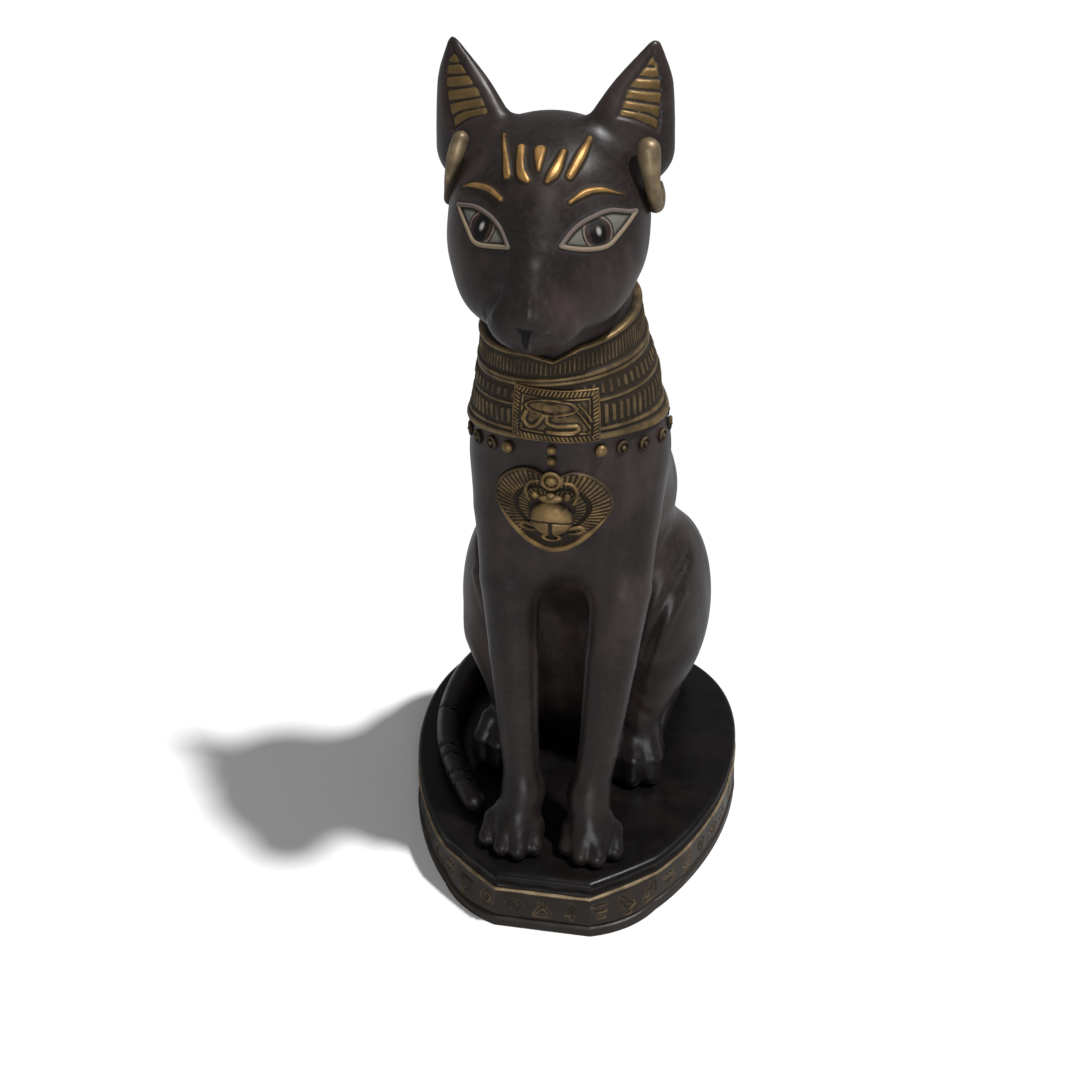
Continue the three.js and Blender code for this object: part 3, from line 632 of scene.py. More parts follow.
class Recipe:
    """Adds nodes to one node tree and feeds them from sockets or plain values."""

    def __init__(self, tree):
        self.tree = tree

    def feed(self, socket, value):
        if isinstance(value, bpy.types.NodeSocket):
            self.tree.links.new(value, socket)
        elif socket.type == "RGBA":
            socket.default_value = (*value, 1)
        else:
            socket.default_value = value

    def add(self, kind, fed=None, **settings):
        node = self.tree.nodes.new(kind)
        for key, value in settings.items():
            setattr(node, key, value)
        for key, value in (fed or {}).items():
            self.feed(node.inputs[key], value)
        return node

    def math(self, operation, a, b=0.0):
        return self.add("ShaderNodeMath", {0: a, 1: b}, operation=operation).outputs[0]

    def times(self, a, b):
        return self.math("MULTIPLY", a, b)

    def blend(self, share, a, b):
        """A number between a and b."""
        return self.add("ShaderNodeMix", {0: share, 2: a, 3: b}).outputs[0]

    def mix(self, share, a, b):
        """A colour between a and b."""
        return self.add("ShaderNodeMix", {0: share, 6: a, 7: b}, data_type="RGBA").outputs[2]

    def layered(self, colour, layers):
        """colour under layers of value, start, end and the layer's colour, the last one on top."""
        for value, start, end, over in layers:
            colour = self.mix(self.fade(value, start, end), colour, over)
        return colour

    def fade(self, value, start, end, low=0.0, high=1.0):
        fed = {"Value": value, "From Min": start, "From Max": end, "To Min": low, "To Max": high}
        node = self.add("ShaderNodeMapRange", fed, interpolation_type="SMOOTHSTEP")
        return node.outputs[0]

    def painted(self, name):
        return self.add("ShaderNodeAttribute", attribute_name=name).outputs["Fac"]

    def noise(self, size, detail=3.0, stretch=(1, 1, 1)):
        """Cloudy noise whose features are about size millimetres across."""
        place = self.add("ShaderNodeTexCoord").outputs["Object"]
        scale = [1000 / size * share for share in stretch]
        mapped = self.add("ShaderNodeMapping", {"Vector": place, "Scale": scale}).outputs[0]
        fed = {"Vector": mapped, "Scale": 1.0, "Detail": detail, "Roughness": 0.55}
        return self.add("ShaderNodeTexNoise", fed).outputs["Fac"]


def new_group(name, colours_in, numbers_in, numbers_out):
    """A node group that gives Color and some numbers."""
    group = bpy.data.node_groups.new(name, "ShaderNodeTree")
    sockets = [(label, "INPUT", "NodeSocketColor") for label in colours_in]
    sockets += [(label, "INPUT", "NodeSocketFloat") for label in numbers_in]
    sockets += [("Color", "OUTPUT", "NodeSocketColor")]
    sockets += [(label, "OUTPUT", "NodeSocketFloat") for label in numbers_out]
    for label, way, kind in sockets:
        group.interface.new_socket(label, in_out=way, socket_type=kind)
    recipe = Recipe(group)
    return recipe, recipe.add("NodeGroupInput").outputs, recipe.add("NodeGroupOutput").inputs


# Heights in metres between which painted shade near the plinth turns the resin from black to its own colour
SHADED_BELOW = 0.018
LIT_FROM = 0.042
PLINTH_SHADE = (0.0015, 0.0013, 0.0013)


def resin_group():
    """Bronzed resin: dark brown with warmer cloudy patches and fine pitting, and painted shade near the
    plinth that turns it blacker.
    """
    if "Bronzed resin skin" in bpy.data.node_groups:
        return bpy.data.node_groups["Bronzed resin skin"]
    recipe, given, out = new_group("Bronzed resin skin", ("Resin", "Warmth"), (), ("Roughness", "Height"))
    clouds = recipe.noise(14, 3)
    streaks = recipe.noise(7, 3, (1.6, 1.6, 0.35))
    grain = recipe.noise(0.9, 4)
    warm = recipe.times(recipe.fade(clouds, 0.4, 0.66), recipe.fade(streaks, 0.35, 0.65, 0.4, 1.0))
    base = recipe.mix(warm, given["Resin"], given["Warmth"])
    base = recipe.mix(recipe.fade(grain, 0.35, 0.75, 0.0, 0.3), base, given["Warmth"])
    place = recipe.add("ShaderNodeTexCoord").outputs["Object"]
    height = recipe.add("ShaderNodeSeparateXYZ", {0: place}).outputs[2]
    # Painted shade: the resin goes towards black near the plinth's top, where shade falls on the legs and
    # paws.
    low = recipe.fade(height, LIT_FROM, SHADED_BELOW, 0.0, 0.72)
    recipe.feed(out["Color"], recipe.mix(low, base, PLINTH_SHADE))
    rough = recipe.fade(streaks, 0.3, 0.7, 0.26, 0.38)
    recipe.feed(out["Roughness"], recipe.math("ADD", rough, recipe.times(grain, 0.1)))
    recipe.feed(out["Height"], grain)
    return recipe.tree


def gold_group():
    """Gold paint rubbed over a dark wash: bright where it stands up, brown in the hollows."""
    if "Rubbed gold paint" in bpy.data.node_groups:
        return bpy.data.node_groups["Rubbed gold paint"]
    recipe, given, out = new_group(
        "Rubbed gold paint", ("Gold", "Tarnish", "Wash"), ("Raised",), ("Metallic", "Roughness", "Height")
    )
    patches = recipe.noise(3.5, 4)
    grain = recipe.noise(0.5, 3)
    wear = recipe.times(recipe.math("SUBTRACT", patches, 0.5), 0.6)
    clean = recipe.fade(recipe.math("ADD", given["Raised"], wear), 0.15, 0.85)
    metal = recipe.mix(recipe.fade(patches, 0.35, 0.65), given["Tarnish"], given["Gold"])
    recipe.feed(out["Color"], recipe.mix(clean, given["Wash"], metal))
    recipe.feed(out["Metallic"], recipe.times(clean, 0.55))
    rough = recipe.math("SUBTRACT", 0.6, recipe.times(clean, 0.2))
    recipe.feed(out["Roughness"], recipe.math("ADD", rough, recipe.times(grain, 0.1)))
    recipe.feed(out["Height"], recipe.math("ADD", grain, recipe.times(patches, 0.6)))
    return recipe.tree


def new_finish(name, specular=0.3):
    finish = bpy.data.materials.new(name)
    finish.use_nodes = True
    finish.node_tree.nodes.clear()
    recipe = Recipe(finish.node_tree)
    shader = recipe.add("ShaderNodeBsdfPrincipled", {"Specular IOR Level": specular})
    output = recipe.add("ShaderNodeOutputMaterial", {"Surface": shader.outputs[0]})
    output.is_active_output = True
    return finish, recipe, shader.inputs


def add_bump(recipe, shader, height, millimetres):
    fed = {"Height": height, "Distance": millimetres / 1000}
    recipe.feed(shader["Normal"], recipe.add("ShaderNodeBump", fed).outputs[0])


TARNISH_SHARE = 0.55  # how bright tarnished gold is against clean gold


def darker(share, colour):
    return [share * part for part in colour]


def resin_of(recipe, share=1.0):
    fed = {"Resin": darker(share, colours().resin), "Warmth": darker(share, colours().warmth)}
    return recipe.add("ShaderNodeGroup", fed, node_tree=resin_group()).outputs


def gold_of(recipe, raised, gold):
    fed = {"Gold": gold, "Tarnish": darker(TARNISH_SHARE, gold), "Wash": colours().wash_and_shade, "Raised": raised}
    return recipe.add("ShaderNodeGroup", fed, node_tree=gold_group()).outputs


def resin_finish():
    if "Bronzed resin" in bpy.data.materials:
        return bpy.data.materials["Bronzed resin"]
    finish, recipe, shader = new_finish("Bronzed resin")
    resin = resin_of(recipe)
    recipe.feed(shader["Base Color"], resin["Color"])
    recipe.feed(shader["Roughness"], resin["Roughness"])
    add_bump(recipe, shader, resin["Height"], 0.02)
    return finish


def gold_finish(name, gold):
    """Gold relief all over, from the piece's raised attribute."""
    if name in bpy.data.materials:
        return bpy.data.materials[name]
    finish, recipe, shader = new_finish(name)
    metal = gold_of(recipe, recipe.painted("raised"), gold)
    recipe.feed(shader["Base Color"], metal["Color"])
    recipe.feed(shader["Metallic"], metal["Metallic"])
    recipe.feed(shader["Roughness"], metal["Roughness"])
    add_bump(recipe, shader, metal["Height"], 0.04)
    return finish


INK_AND_SHADE = (0.004, 0.003, 0.003)  # the darkest colour: paint in pupils and eye outlines, and painted shade in the nose slits
GLINT = (0.3, 0.28, 0.26)
DULL_GOLD = (0.105, 0.072, 0.03)  # the gold in the ears
EYE_ROUGHNESS = 0.3
WASH_ROUGHNESS = 0.7


def head_finish():
    """Resin with gold strokes and ear bars, rimmed eyes with painted shade along the lids, painted irises and
    nose slits painted near black as shade.
    """
    finish, recipe, shader = new_finish("Bronzed resin with painted face")
    look = colours()
    resin = resin_of(recipe)
    stroke, lid, iris = recipe.painted("stroke"), recipe.painted("lid"), recipe.painted("iris")
    off_rim = recipe.math("ABSOLUTE", lid)
    stain = recipe.fade(stroke, 0.7, 0.0)
    in_gold = recipe.fade(stroke, 0.04, -0.04)
    in_eye = recipe.fade(lid, 0.04, -0.04)
    # Painted shade: the nose slits are painted near black, as the shade deep in their grooves.
    slit_shade = recipe.fade(recipe.painted("slit"), 0.3, -0.1)

    metal = gold_of(recipe, recipe.fade(stroke, 0.05, -0.6), look.gold)
    gold = recipe.mix(recipe.times(recipe.painted("dull"), 0.75), metal["Color"], DULL_GOLD)
    eye = recipe.mix(recipe.noise(2.5), look.eye_white, look.eye_shade)
    # Painted shade: the eye's white goes to the dark wash colour within about a millimetre of its lids, as
    # the shade the lids cast.
    eye = recipe.mix(recipe.fade(lid, -0.5, -1.1), look.wash_and_shade, eye)
    eye = recipe.layered(eye, (
        (iris, 0.25, 0.15, look.wash_and_shade),
        (iris, -0.02, -0.12, look.rim),
        (iris, -0.3, -0.42, look.iris),
        (recipe.painted("pupil"), 0.12, -0.12, INK_AND_SHADE),
        (recipe.painted("glint"), 0.2, -0.25, GLINT),
    ))
    rim = recipe.mix(recipe.noise(1.5), look.rim, look.rim_shade)
    rim = recipe.mix(recipe.times(recipe.painted("lower"), 0.5), rim, look.horn)

    colour = resin["Color"]
    for share, over in ((stain, look.wash_and_shade), (in_gold, gold), (in_eye, eye)):
        colour = recipe.mix(share, colour, over)
    colour = recipe.layered(colour, ((off_rim, 0.8, 0.42, INK_AND_SHADE), (off_rim, 0.42, 0.32, rim)))
    recipe.feed(shader["Base Color"], recipe.mix(slit_shade, colour, INK_AND_SHADE))
    recipe.feed(shader["Metallic"], recipe.times(metal["Metallic"], in_gold))
    in_wash = recipe.math("MAXIMUM", recipe.math("SUBTRACT", stain, in_gold), slit_shade)
    in_wash = recipe.math("MAXIMUM", in_wash, recipe.fade(off_rim, 1.1, 0.6))
    rough = recipe.blend(in_gold, resin["Roughness"], metal["Roughness"])
    rough = recipe.blend(in_eye, rough, EYE_ROUGHNESS)
    recipe.feed(shader["Roughness"], recipe.blend(in_wash, rough, WASH_ROUGHNESS))
    add_bump(recipe, shader, resin["Height"], 0.02)
    return finish


PLINTH_TOP_SHARE = 0.4  # how bright the resin of the plinth is against the cat's


def plinth_finish():
    """Resin with a gold line and a browner wall whose incised marks hold the wash."""
    finish, recipe, shader = new_finish("Bronzed resin plinth", 0.2)
    look = colours()
    resin = resin_of(recipe, PLINTH_TOP_SHARE)
    line, mark = recipe.painted("line"), recipe.painted("mark")
    metal = gold_of(recipe, recipe.fade(line, 0.0, -0.3), look.horn)
    in_gold = recipe.fade(line, 0.1, -0.1)
    brown = recipe.mix(recipe.noise(5), look.wall, look.wall_shade)
    rubbed = recipe.times(recipe.fade(mark, 0.55, 0.15), recipe.fade(recipe.noise(4), 0.4, 0.7))
    colour = recipe.mix(recipe.painted("wall"), resin["Color"], brown)
    colour = recipe.mix(recipe.times(rubbed, 0.45), colour, look.bronze)
    colour = recipe.layered(colour, ((mark, 0.1, -0.1, look.wash_and_shade),))
    recipe.feed(shader["Base Color"], recipe.mix(in_gold, colour, metal["Color"]))
    recipe.feed(shader["Metallic"], recipe.times(metal["Metallic"], in_gold))
    recipe.feed(shader["Roughness"], recipe.blend(in_gold, resin["Roughness"], metal["Roughness"]))
    add_bump(recipe, shader, resin["Height"], 0.03)
    return finish


# Sizes and colours that a user would change


def length(name, description, default):
    return FloatProperty(name=name, description=description, default=default / 1000, min=0, unit="LENGTH")


def colour(name, description, default):
    return FloatVectorProperty(
        name=name, description=description, default=default, subtype="COLOR", size=3, min=0, max=1
    )


class CatSizes(bpy.types.PropertyGroup):
    """Sizes of the cat's relief and trim"""

    stroke_relief: length("Brow stroke relief", "How far the gold strokes stand up", 0.6)
    lid_relief: length("Eye rim relief", "How far the eye rims stand up", 0.38)
    lid_width: length("Eye rim width", "Breadth of the rim around each eye", 0.9)
    collar_thickness: length("Collar thickness", "What the collar's bands stand proud of the neck", 0.95)
    bar_relief: length("Collar bar relief", "How far the bars stand up from a band", 0.4)
    plaque_relief: length("Plaque relief", "What the plaque's frame stands over the bands", 0.75)
    pendant_relief: length("Pendant relief", "How far the pendant's edge stands off the chest", 1.4)
    bead_diameter: length("Bead diameter", "Diameter of the hanging beads", 2.5)
    earring_share: FloatProperty(
        name="Earring thickness", description="Thickness as a share of the earrings' own",
        default=1, min=0.3, max=2,
    )
    mark_depth: length("Mark depth", "How deep the marks on the plinth are cut", 0.3)


class CatColours(bpy.types.PropertyGroup):
    """Colours of the cat's finishes"""

    resin: colour("Resin", "Dark bronzed resin", (0.0128, 0.0097, 0.0092))
    warmth: colour("Resin warmth", "Rubbed, warmer patches of the resin", (0.043, 0.0295, 0.0275))
    gold: colour("Gold", "Bright rubbed gold paint", (0.40, 0.225, 0.075))
    bronze: colour("Dull gold", "Dull bronze gold of the collar", (0.20, 0.135, 0.062))
    pendant: colour("Pendant gold", "Gold of the pendant and the beetle", (0.27, 0.175, 0.072))
    wash_and_shade: colour("Wash", "Dark brown wash in the hollows", (0.018, 0.011, 0.005))
    horn: colour("Earring", "Pale rubbed gold of the earrings", (0.30, 0.225, 0.135))
    rim: colour("Eye rim", "Greyish tan of the eye rims", (0.15, 0.115, 0.1))
    rim_shade: colour("Eye rim shade", "Darker tan of the eye rims", (0.095, 0.07, 0.062))
    eye_white: colour("Eye", "Grey-green of the eyes", (0.155, 0.155, 0.132))
    eye_shade: colour("Eye shade", "Shaded grey-green of the eyes", (0.09, 0.09, 0.078))
    iris: colour("Iris", "Dark brown of the irises", (0.028, 0.016, 0.014))
    wall: colour("Plinth wall", "Brown-grey of the plinth's wall", (0.033, 0.0255, 0.0205))
    wall_shade: colour("Plinth wall shade", "Darker brown of the plinth's wall", (0.018, 0.014, 0.0118))
    floor: colour("Floor", "Pale studio floor", (0.83, 0.83, 0.83))


def sizes():
    return bpy.context.scene.cat_sizes


def colours():
    return bpy.context.scene.cat_colours


# Head

# Gold strokes: x and z of their points in the head's frame, and the radii along them
FOREHEAD_STROKES = (
    (((-4.9, 10.1), (-5.5, 11.7), (-6.7, 14.0)), (0.9, 0.85, 0.65, 0.4)),
    (((-1.3, 10.0), (-2.6, 11.0), (-3.2, 13.4)), (0.6, 1.0, 0.95, 0.8)),
    (((0.35, 11.3), (0.15, 13.4)), (0.5, 0.85, 1.15)),
    (((1.9, 9.9), (3.0, 11.2), (3.9, 13.0)), (0.6, 1.0, 0.95, 0.7)),
    (((5.3, 10.1), (6.4, 11.8), (7.7, 13.7)), (0.8, 0.95, 0.9, 0.6)),
)
BROWS = (
    (((-14.0, 6.0), (-11.2, 7.3), (-8.3, 7.5), (-5.8, 6.7)), (0.2, 0.6, 0.75, 0.6)),
    (((5.6, 6.6), (7.9, 7.5), (10.6, 7.3), (14.0, 5.6)), (0.55, 0.75, 0.6, 0.2)),
)
UPPER_LIDS = (
    ((-14.2, 3.7), (-10.9, 4.6), (-8.0, 4.1), (-5.7, 2.8), (-3.9, 0.7)),
    ((4.6, 0.9), (6.5, 2.8), (8.9, 3.9), (12.0, 4.3), (15.8, 2.6)),
)
LOWER_LIDS = (
    ((-14.2, 3.7), (-12.0, 1.5), (-10.3, -0.2), (-7.2, -0.1), (-3.9, 0.7)),
    ((4.6, 0.9), (6.4, 0.15), (8.9, -0.4), (11.8, -0.5), (13.6, 0.7), (15.8, 2.6)),
)
LID_STEPS = 36
IRISES = ((-9.2, 2.1), (10.3, 1.7))
EYE_SLANT = 0.55  # how far each eye's plane is turned outwards, in radians
# Ovals painted on each eye: middle off the iris's own, across and up, and half width and height
EYE_OVALS = {"iris": (0, 0, 2.7, 2.7), "pupil": (0, 0, 1.45, 2.3), "glint": (0.1, 0.2, 0.4, 0.62)}
# Height, inner x and outer x of each ear's gold inlay, up to its tip
EAR_INLAYS = (
    ((13.6, 10.6, 16.8), (16.7, 10.4, 18.1), (19.6, 12.2, 18.7), (22.6, 15.2, 18.8), (25.2, 17.5, 18.0)),
    ((12.6, 12.3, 18.3), (16.4, 12.2, 18.9), (20.3, 13.5, 19.5), (22.8, 16.0, 18.9), (24.8, 17.5, 18.1)),
)
# Heights at which each gold bar of an ear ends, at the inlay's outer and inner edge
BAR_OUTER_ENDS = (12.9, 14.5, 16.6, 18.7, 20.7, 22.5, 24.0)
BAR_INNER_ENDS = (16.2, 17.2, 18.6, 20.2, 21.7, 23.1, 24.4)
BAR_PITCH = 1.8
BAR_RELIEF = 0.3
INLAY_DEPTH = 0.5
EYE_BULGE = 0.2
SLIT_DEPTH = 1.1
# Slits of the nose, like the gold strokes, cut in and painted near black as shade; where a radius is negative
# the slit fades out
NOSE_SLITS = (
    (((-0.6, -12.2), (-0.9, -13.8), (-1.1, -16.2)), (0.55, 0.5, 0.25)),
    (((-0.7, -12.3), (-1.5, -11.9), (-2.4, -11.2)), (0.45, 0.35, -0.1)),
    (((-0.5, -12.3), (0.4, -11.9), (1.2, -11.5)), (0.3, 0.1, -0.2)),
)
# Creases of the face: path, breadth and depth; a negative depth is a ridge
FACE_CREASES = (
    (((-4.4, -4.4), (-6.6, -7.4), (-8.1, -10.6), (-8.6, -13.4)), 1.4, 0.45),
    (((-3.8, -6.4), (-5.6, -8.8), (-6.9, -11.6)), 1.5, -0.35),
    (((5.6, -6.6), (7.4, -9.6), (8.4, -12.8)), 1.6, 0.25),
    (((-3.2, -1.2), (-5.0, -3.2), (-6.8, -5.2)), 0.7, 0.15),
    (((2.6, -5.8), (3.7, -8.0), (4.5, -10.0)), 0.9, -0.2),
    (((0.3, -12.9), (2.2, -12.4), (4.2, -11.6)), 0.7, -0.2),
    (((0, -4.6), (0, -8.0), (-0.3, -11.2)), 1.2, -0.25),
)


def face_stroke(places, radii, steps):
    """Path and radii of a stroke over the face, as stroke_gap takes them."""
    return on_face(smooth_path(places, steps)), spread(radii, steps)


def eye_marks(points, side):
    """Signed distance to one eye's edge, and where its lower lid is."""
    x, _, z = points.T
    number = SIDES.index(side)
    upper = smooth_path(UPPER_LIDS[number], LID_STEPS)
    lower = smooth_path(LOWER_LIDS[number], LID_STEPS)
    off_upper, off_lower = (stroke_gap(points, on_face(lid), np.zeros(LID_STEPS)) for lid in (upper, lower))
    roof = np.interp(x, upper[:, 0], upper[:, 1], left=-99, right=-99)
    ground = np.interp(x, lower[:, 0], lower[:, 1], left=99, right=99)
    inside = (z < roof) & (z > ground) & (points[:, 1] < 0)
    edge = np.minimum(off_upper, off_lower)
    return np.where(inside, -edge, edge), (off_lower < off_upper).astype(float)


def bar_number(z, ends):
    below = np.minimum(z - ends[0], 0) / (ends[1] - ends[0])
    return np.interp(z, ends, np.arange(len(ends))) + below


def inlay_gap(points, side):
    """Signed distance to the gold bars of one ear, in millimetres, and to their outline."""
    x, y, z = points.T
    heights, inner, outer = np.array(EAR_INLAYS[SIDES.index(side)]).T
    inner_x = np.interp(z, heights, inner)
    outer_x = np.interp(z, heights, outer)
    across = side * x
    share = np.clip((across - inner_x) / np.maximum(outer_x - inner_x, 0.2), 0, 1)
    bar = (1 - share) * bar_number(z, BAR_INNER_ENDS) + share * bar_number(z, BAR_OUTER_ENDS)
    off_line = np.abs(bar - np.round(bar)) * BAR_PITCH
    foot = -bar * BAR_PITCH
    outline = np.maximum.reduce([inner_x - across, (across - outer_x) * 0.7, foot, z - heights[-1]])
    front = y < EAR_FOOT[1] + (z - EAR_FOOT[2]) * 0.3
    outline = np.where(front & (z > 10), outline, FAR)
    return np.maximum(outline, 0.2 - off_line), outline


def sharpen_ears(points):
    """Draws the tops of both ears in towards their middles, which makes pointed tips."""
    t = np.clip((points[:, 2] - EAR_FOOT[2]) / (EAR_TIP[2] - EAR_FOOT[2]), 0, 1)
    middle_x, middle_y, _, _ = ear_slice(t)
    pull = POINT_PULL * np.clip((t - POINT_START) / (1 - POINT_START), 0, 1) ** 2
    points[:, 0] += pull * (np.sign(points[:, 0]) * middle_x - points[:, 0])
    points[:, 1] += pull * (middle_y - points[:, 1])
    return points


def paint_eyes(points):
    """Distances to the lids and to the ovals of both eyes, and where a lower lid is."""
    marks = {name: far_off(points) for name in ("lid", *EYE_OVALS)}
    marks["lower"] = np.zeros(len(points))
    for side, middle in zip(SIDES, IRISES):
        edge, lower = eye_marks(points, side)
        mine = np.abs(edge) < np.abs(marks["lid"])
        marks["lid"] = np.where(mine, edge, marks["lid"])
        marks["lower"] = np.where(mine, lower, marks["lower"])
        off = points - on_face([middle])[0]
        close = (side * points[:, 0] > 2) & (edge < 0.5)
        across = off @ np.array([math.cos(EYE_SLANT), side * math.sin(EYE_SLANT), 0])
        up = off[:, 2] / 0.93
        for name, (x, z, wide, tall) in EYE_OVALS.items():
            oval = (np.hypot((across - x) / wide, (up - z) / tall) - 1) * wide
            marks[name] = np.where(close, oval, marks[name])
    return marks


# Regions of the head with finer faces
FACE = ((-1, 19), (-99, -4), (-18, 99))
EYES_AND_FOREHEAD = ((-1, 17.5), (-99, -3), (-1.8, 15.5))
EARS = ((9, 99), (-99, 7), (10, 99))


def model_head():
    piece = sculpted("cat_head", HEAD_LUMPS, head_gap, 1.6)
    for region in (FACE, EYES_AND_FOREHEAD, EARS):
        refine(piece, region)
    cling(piece, head_gap, 2)
    points = sharpen_ears(points_of(piece))
    put_points(piece, points)
    normals = normals_of(piece)
    marks = paint_eyes(points)
    marks["stroke"] = strokes_gap(points, [face_stroke(*stroke, 18) for stroke in FOREHEAD_STROKES + BROWS])
    marks["slit"] = strokes_gap(points, [face_stroke(*slit, 10) for slit in NOSE_SLITS])
    marks["dull"] = np.zeros(len(points))
    size = sizes()
    height = 1000 * size.stroke_relief * fade(-marks["stroke"], -0.2, 0.65)
    half = 500 * size.lid_width
    height += 1000 * size.lid_relief * fade(half - np.abs(marks["lid"]), -0.2, half)
    height += EYE_BULGE * fade(-marks["lid"], half, 2.6)
    for side in SIDES:
        bars, outline = inlay_gap(points, side)
        mine = (side * points[:, 0] > 0) & (outline < FAR)
        marks["stroke"] = np.where(mine, np.minimum(marks["stroke"], 2 * bars), marks["stroke"])
        marks["dull"] = np.where(mine & (outline < 1), 1, marks["dull"])
        height += mine * (BAR_RELIEF * fade(-bars, 0.0, 0.3) - INLAY_DEPTH * fade(outline, 0.9, 0.0))
    height -= SLIT_DEPTH * np.clip(0.5 - marks["slit"], 0, 1)
    for places, breadth, depth in FACE_CREASES:
        crease = face_stroke(places, (-0.9 * breadth, 0, 0, 0, -0.9 * breadth), 20)
        height -= depth * fade(stroke_gap(points, *crease), breadth, 0)
    points += normals * height[:, None]
    points[:, 2] = np.maximum(points[:, 2], HEAD_CUT)
    points = from_head(points)
    points[:, 2] = np.minimum(points[:, 2], CAT_TOP)
    put_points(piece, points)
    for name, values in marks.items():
        paint(piece, name, values)
    settle(piece, head_finish())


# Body and tail

# Creases and ridges of the haunches: points on the cat's left, breadth, and height over the skin
HAUNCH_FOLDS = (
    (((23.2, 3.4, 52.5), (21.0, -1.6, 49.9), (19.3, -4.4, 46.4), (17.5, -5.9, 41.5), (15.4, -6.0, 33)),
     1.9, -0.75),
    (((22.4, -1.2, 46.5), (21.0, -4.4, 43.5), (19.5, -5.8, 39.3), (17.4, -6.4, 32.3), (15.6, -6.2, 24)),
     1.5, 0.45),
    (((11.5, -5.4, 21.5), (14.2, -5.8, 19.3), (16.6, -6.0, 17.0)), 1.1, -0.4),
)
# Regions of the body with finer faces
FOREPAWS = ((-1, 99), (-99, -25), (-99, 8.5))
HIND_PAWS = ((-1, 99), (-13, -2), (-99, 8.5))
FORE_TOE_ENDS = ((-1, 99), (-99, -29), (-99, 7))
# Skin stretched between the toes drops below the top of the plinth
WEBS = ((-1, 99), (-99, -24), (-99, 9))
WEB_HEIGHT = -1.2
WEB_GAP = 0.12  # skin this far off the sculpt's surface is stretched
FOOT_FLARE = 0.5  # how far the skin spreads where it meets the plinth


def model_body():
    piece = sculpted("cat_body", BODY_LUMPS, body_gap, 1.8)
    refine(piece, FOREPAWS, HIND_PAWS)
    refine(piece, FORE_TOE_ENDS)
    cling(piece, body_gap, 3)
    points = points_of(piece)
    points[(body_gap(points) > WEB_GAP) & within(points, WEBS), 2] = WEB_HEIGHT
    height = np.zeros(len(points))
    for places, breadth, fold in HAUNCH_FOLDS:
        for side in SIDES:
            path = smooth_path(places, 24)
            path[:, 0] = HIP_X + side * (path[:, 0] - HIP_X)
            height += fold * fade(stroke_gap(points, path, np.zeros(24)), breadth, 0)
    points += normals_of(piece) * height[:, None]
    flat = normals_of(piece) * (1, 1, 0)
    points += flat * (FOOT_FLARE * fade(points[:, 2], 1.4, -0.2))[:, None]
    points[:, 2] = np.clip(points[:, 2], -1.5, BODY_TOP)
    put_points(piece, points)
    settle(piece, resin_finish())


TAIL_CREASES = (6.5, 9.5, 15.0, 18.0, 30.0)  # distances from the tail's end
TAIL_CREASE_DEPTH = 0.5
TAIL_RIDGE = 0.55


def model_tail():
    steps = 400
    path = smooth_path(TAIL, steps)
    radii = round_ended(spread(TAIL_RADII, steps), path, both=False)
    piece = add_rod("tail", path, radii, 40)
    points = points_of(piece)
    nearest = np.argmin(np.linalg.norm(points[:, None] - path[None, ::4], axis=2), axis=1) * 4
    ahead = np.gradient(path, axis=0)[nearest]
    ahead /= np.linalg.norm(ahead, axis=1)[:, None]
    off = points - path[nearest]
    side = np.cross(ahead, UP)
    turn = np.arctan2(off @ UP, np.einsum("ij,ij->i", off, side))
    run = run_along(path)
    left = run[-1] - run[nearest]
    height = TAIL_RIDGE * np.exp(-(((turn - 1.2) / 0.2) ** 2)) * fade(left, 2, 5)
    for place in TAIL_CREASES:
        slant = left - place - 1.6 * np.cos(turn)
        height -= TAIL_CREASE_DEPTH * fade(np.abs(slant), 0.55, 0.1)
    put_points(piece, points + normals_of(piece) * height[:, None])
    settle(piece, resin_finish())


# Plinth


def plinth_outline(bulge):
    """The plinth seen from above. Outlines of different bulge keep in line, point by point."""
    half, end = PLINTH_HALF_WIDTH, PLINTH_HALF_LENGTH
    start = np.array([PLINTH_FRONT_FLAT / 2, -end])
    corner = np.array([0.63 * half, -0.76 * end])
    middle = (start + corner) / 2 + (bulge, -bulge)
    t = np.linspace(0, 1, 1400)[:, None]
    front = (1 - t) * (0, -end) + t * start
    diagonal = (1 - t) ** 2 * start + 2 * t * (1 - t) * middle + t * t * corner
    bends = [
        (corner, (0.76 * half, -0.62 * end), (half, -0.26 * end), (half, 0.19 * end)),
        ((half, 0.19 * end), (half, 0.68 * end), (0.72 * half, end), (0.2 * half, end)),
    ]
    curved = [
        (1 - t) ** 3 * a + 3 * t * (1 - t) ** 2 * b + 3 * t * t * (1 - t) * c + t**3 * d
        for a, b, c, d in (map(np.array, bend) for bend in bends)
    ]
    back = (1 - t) * (0.2 * half, end) + t * (0, end)
    right = np.vstack([front, diagonal[1:], curved[0][1:], curved[1][1:], back[1:]])
    left = right[::-1][1:-1] * (-1, 1)
    return np.vstack([right, left])


def circle(x, z, radius):
    return [(x + radius * math.cos(a), z + radius * math.sin(a)) for a in np.linspace(0, 2 * math.pi, 14)]


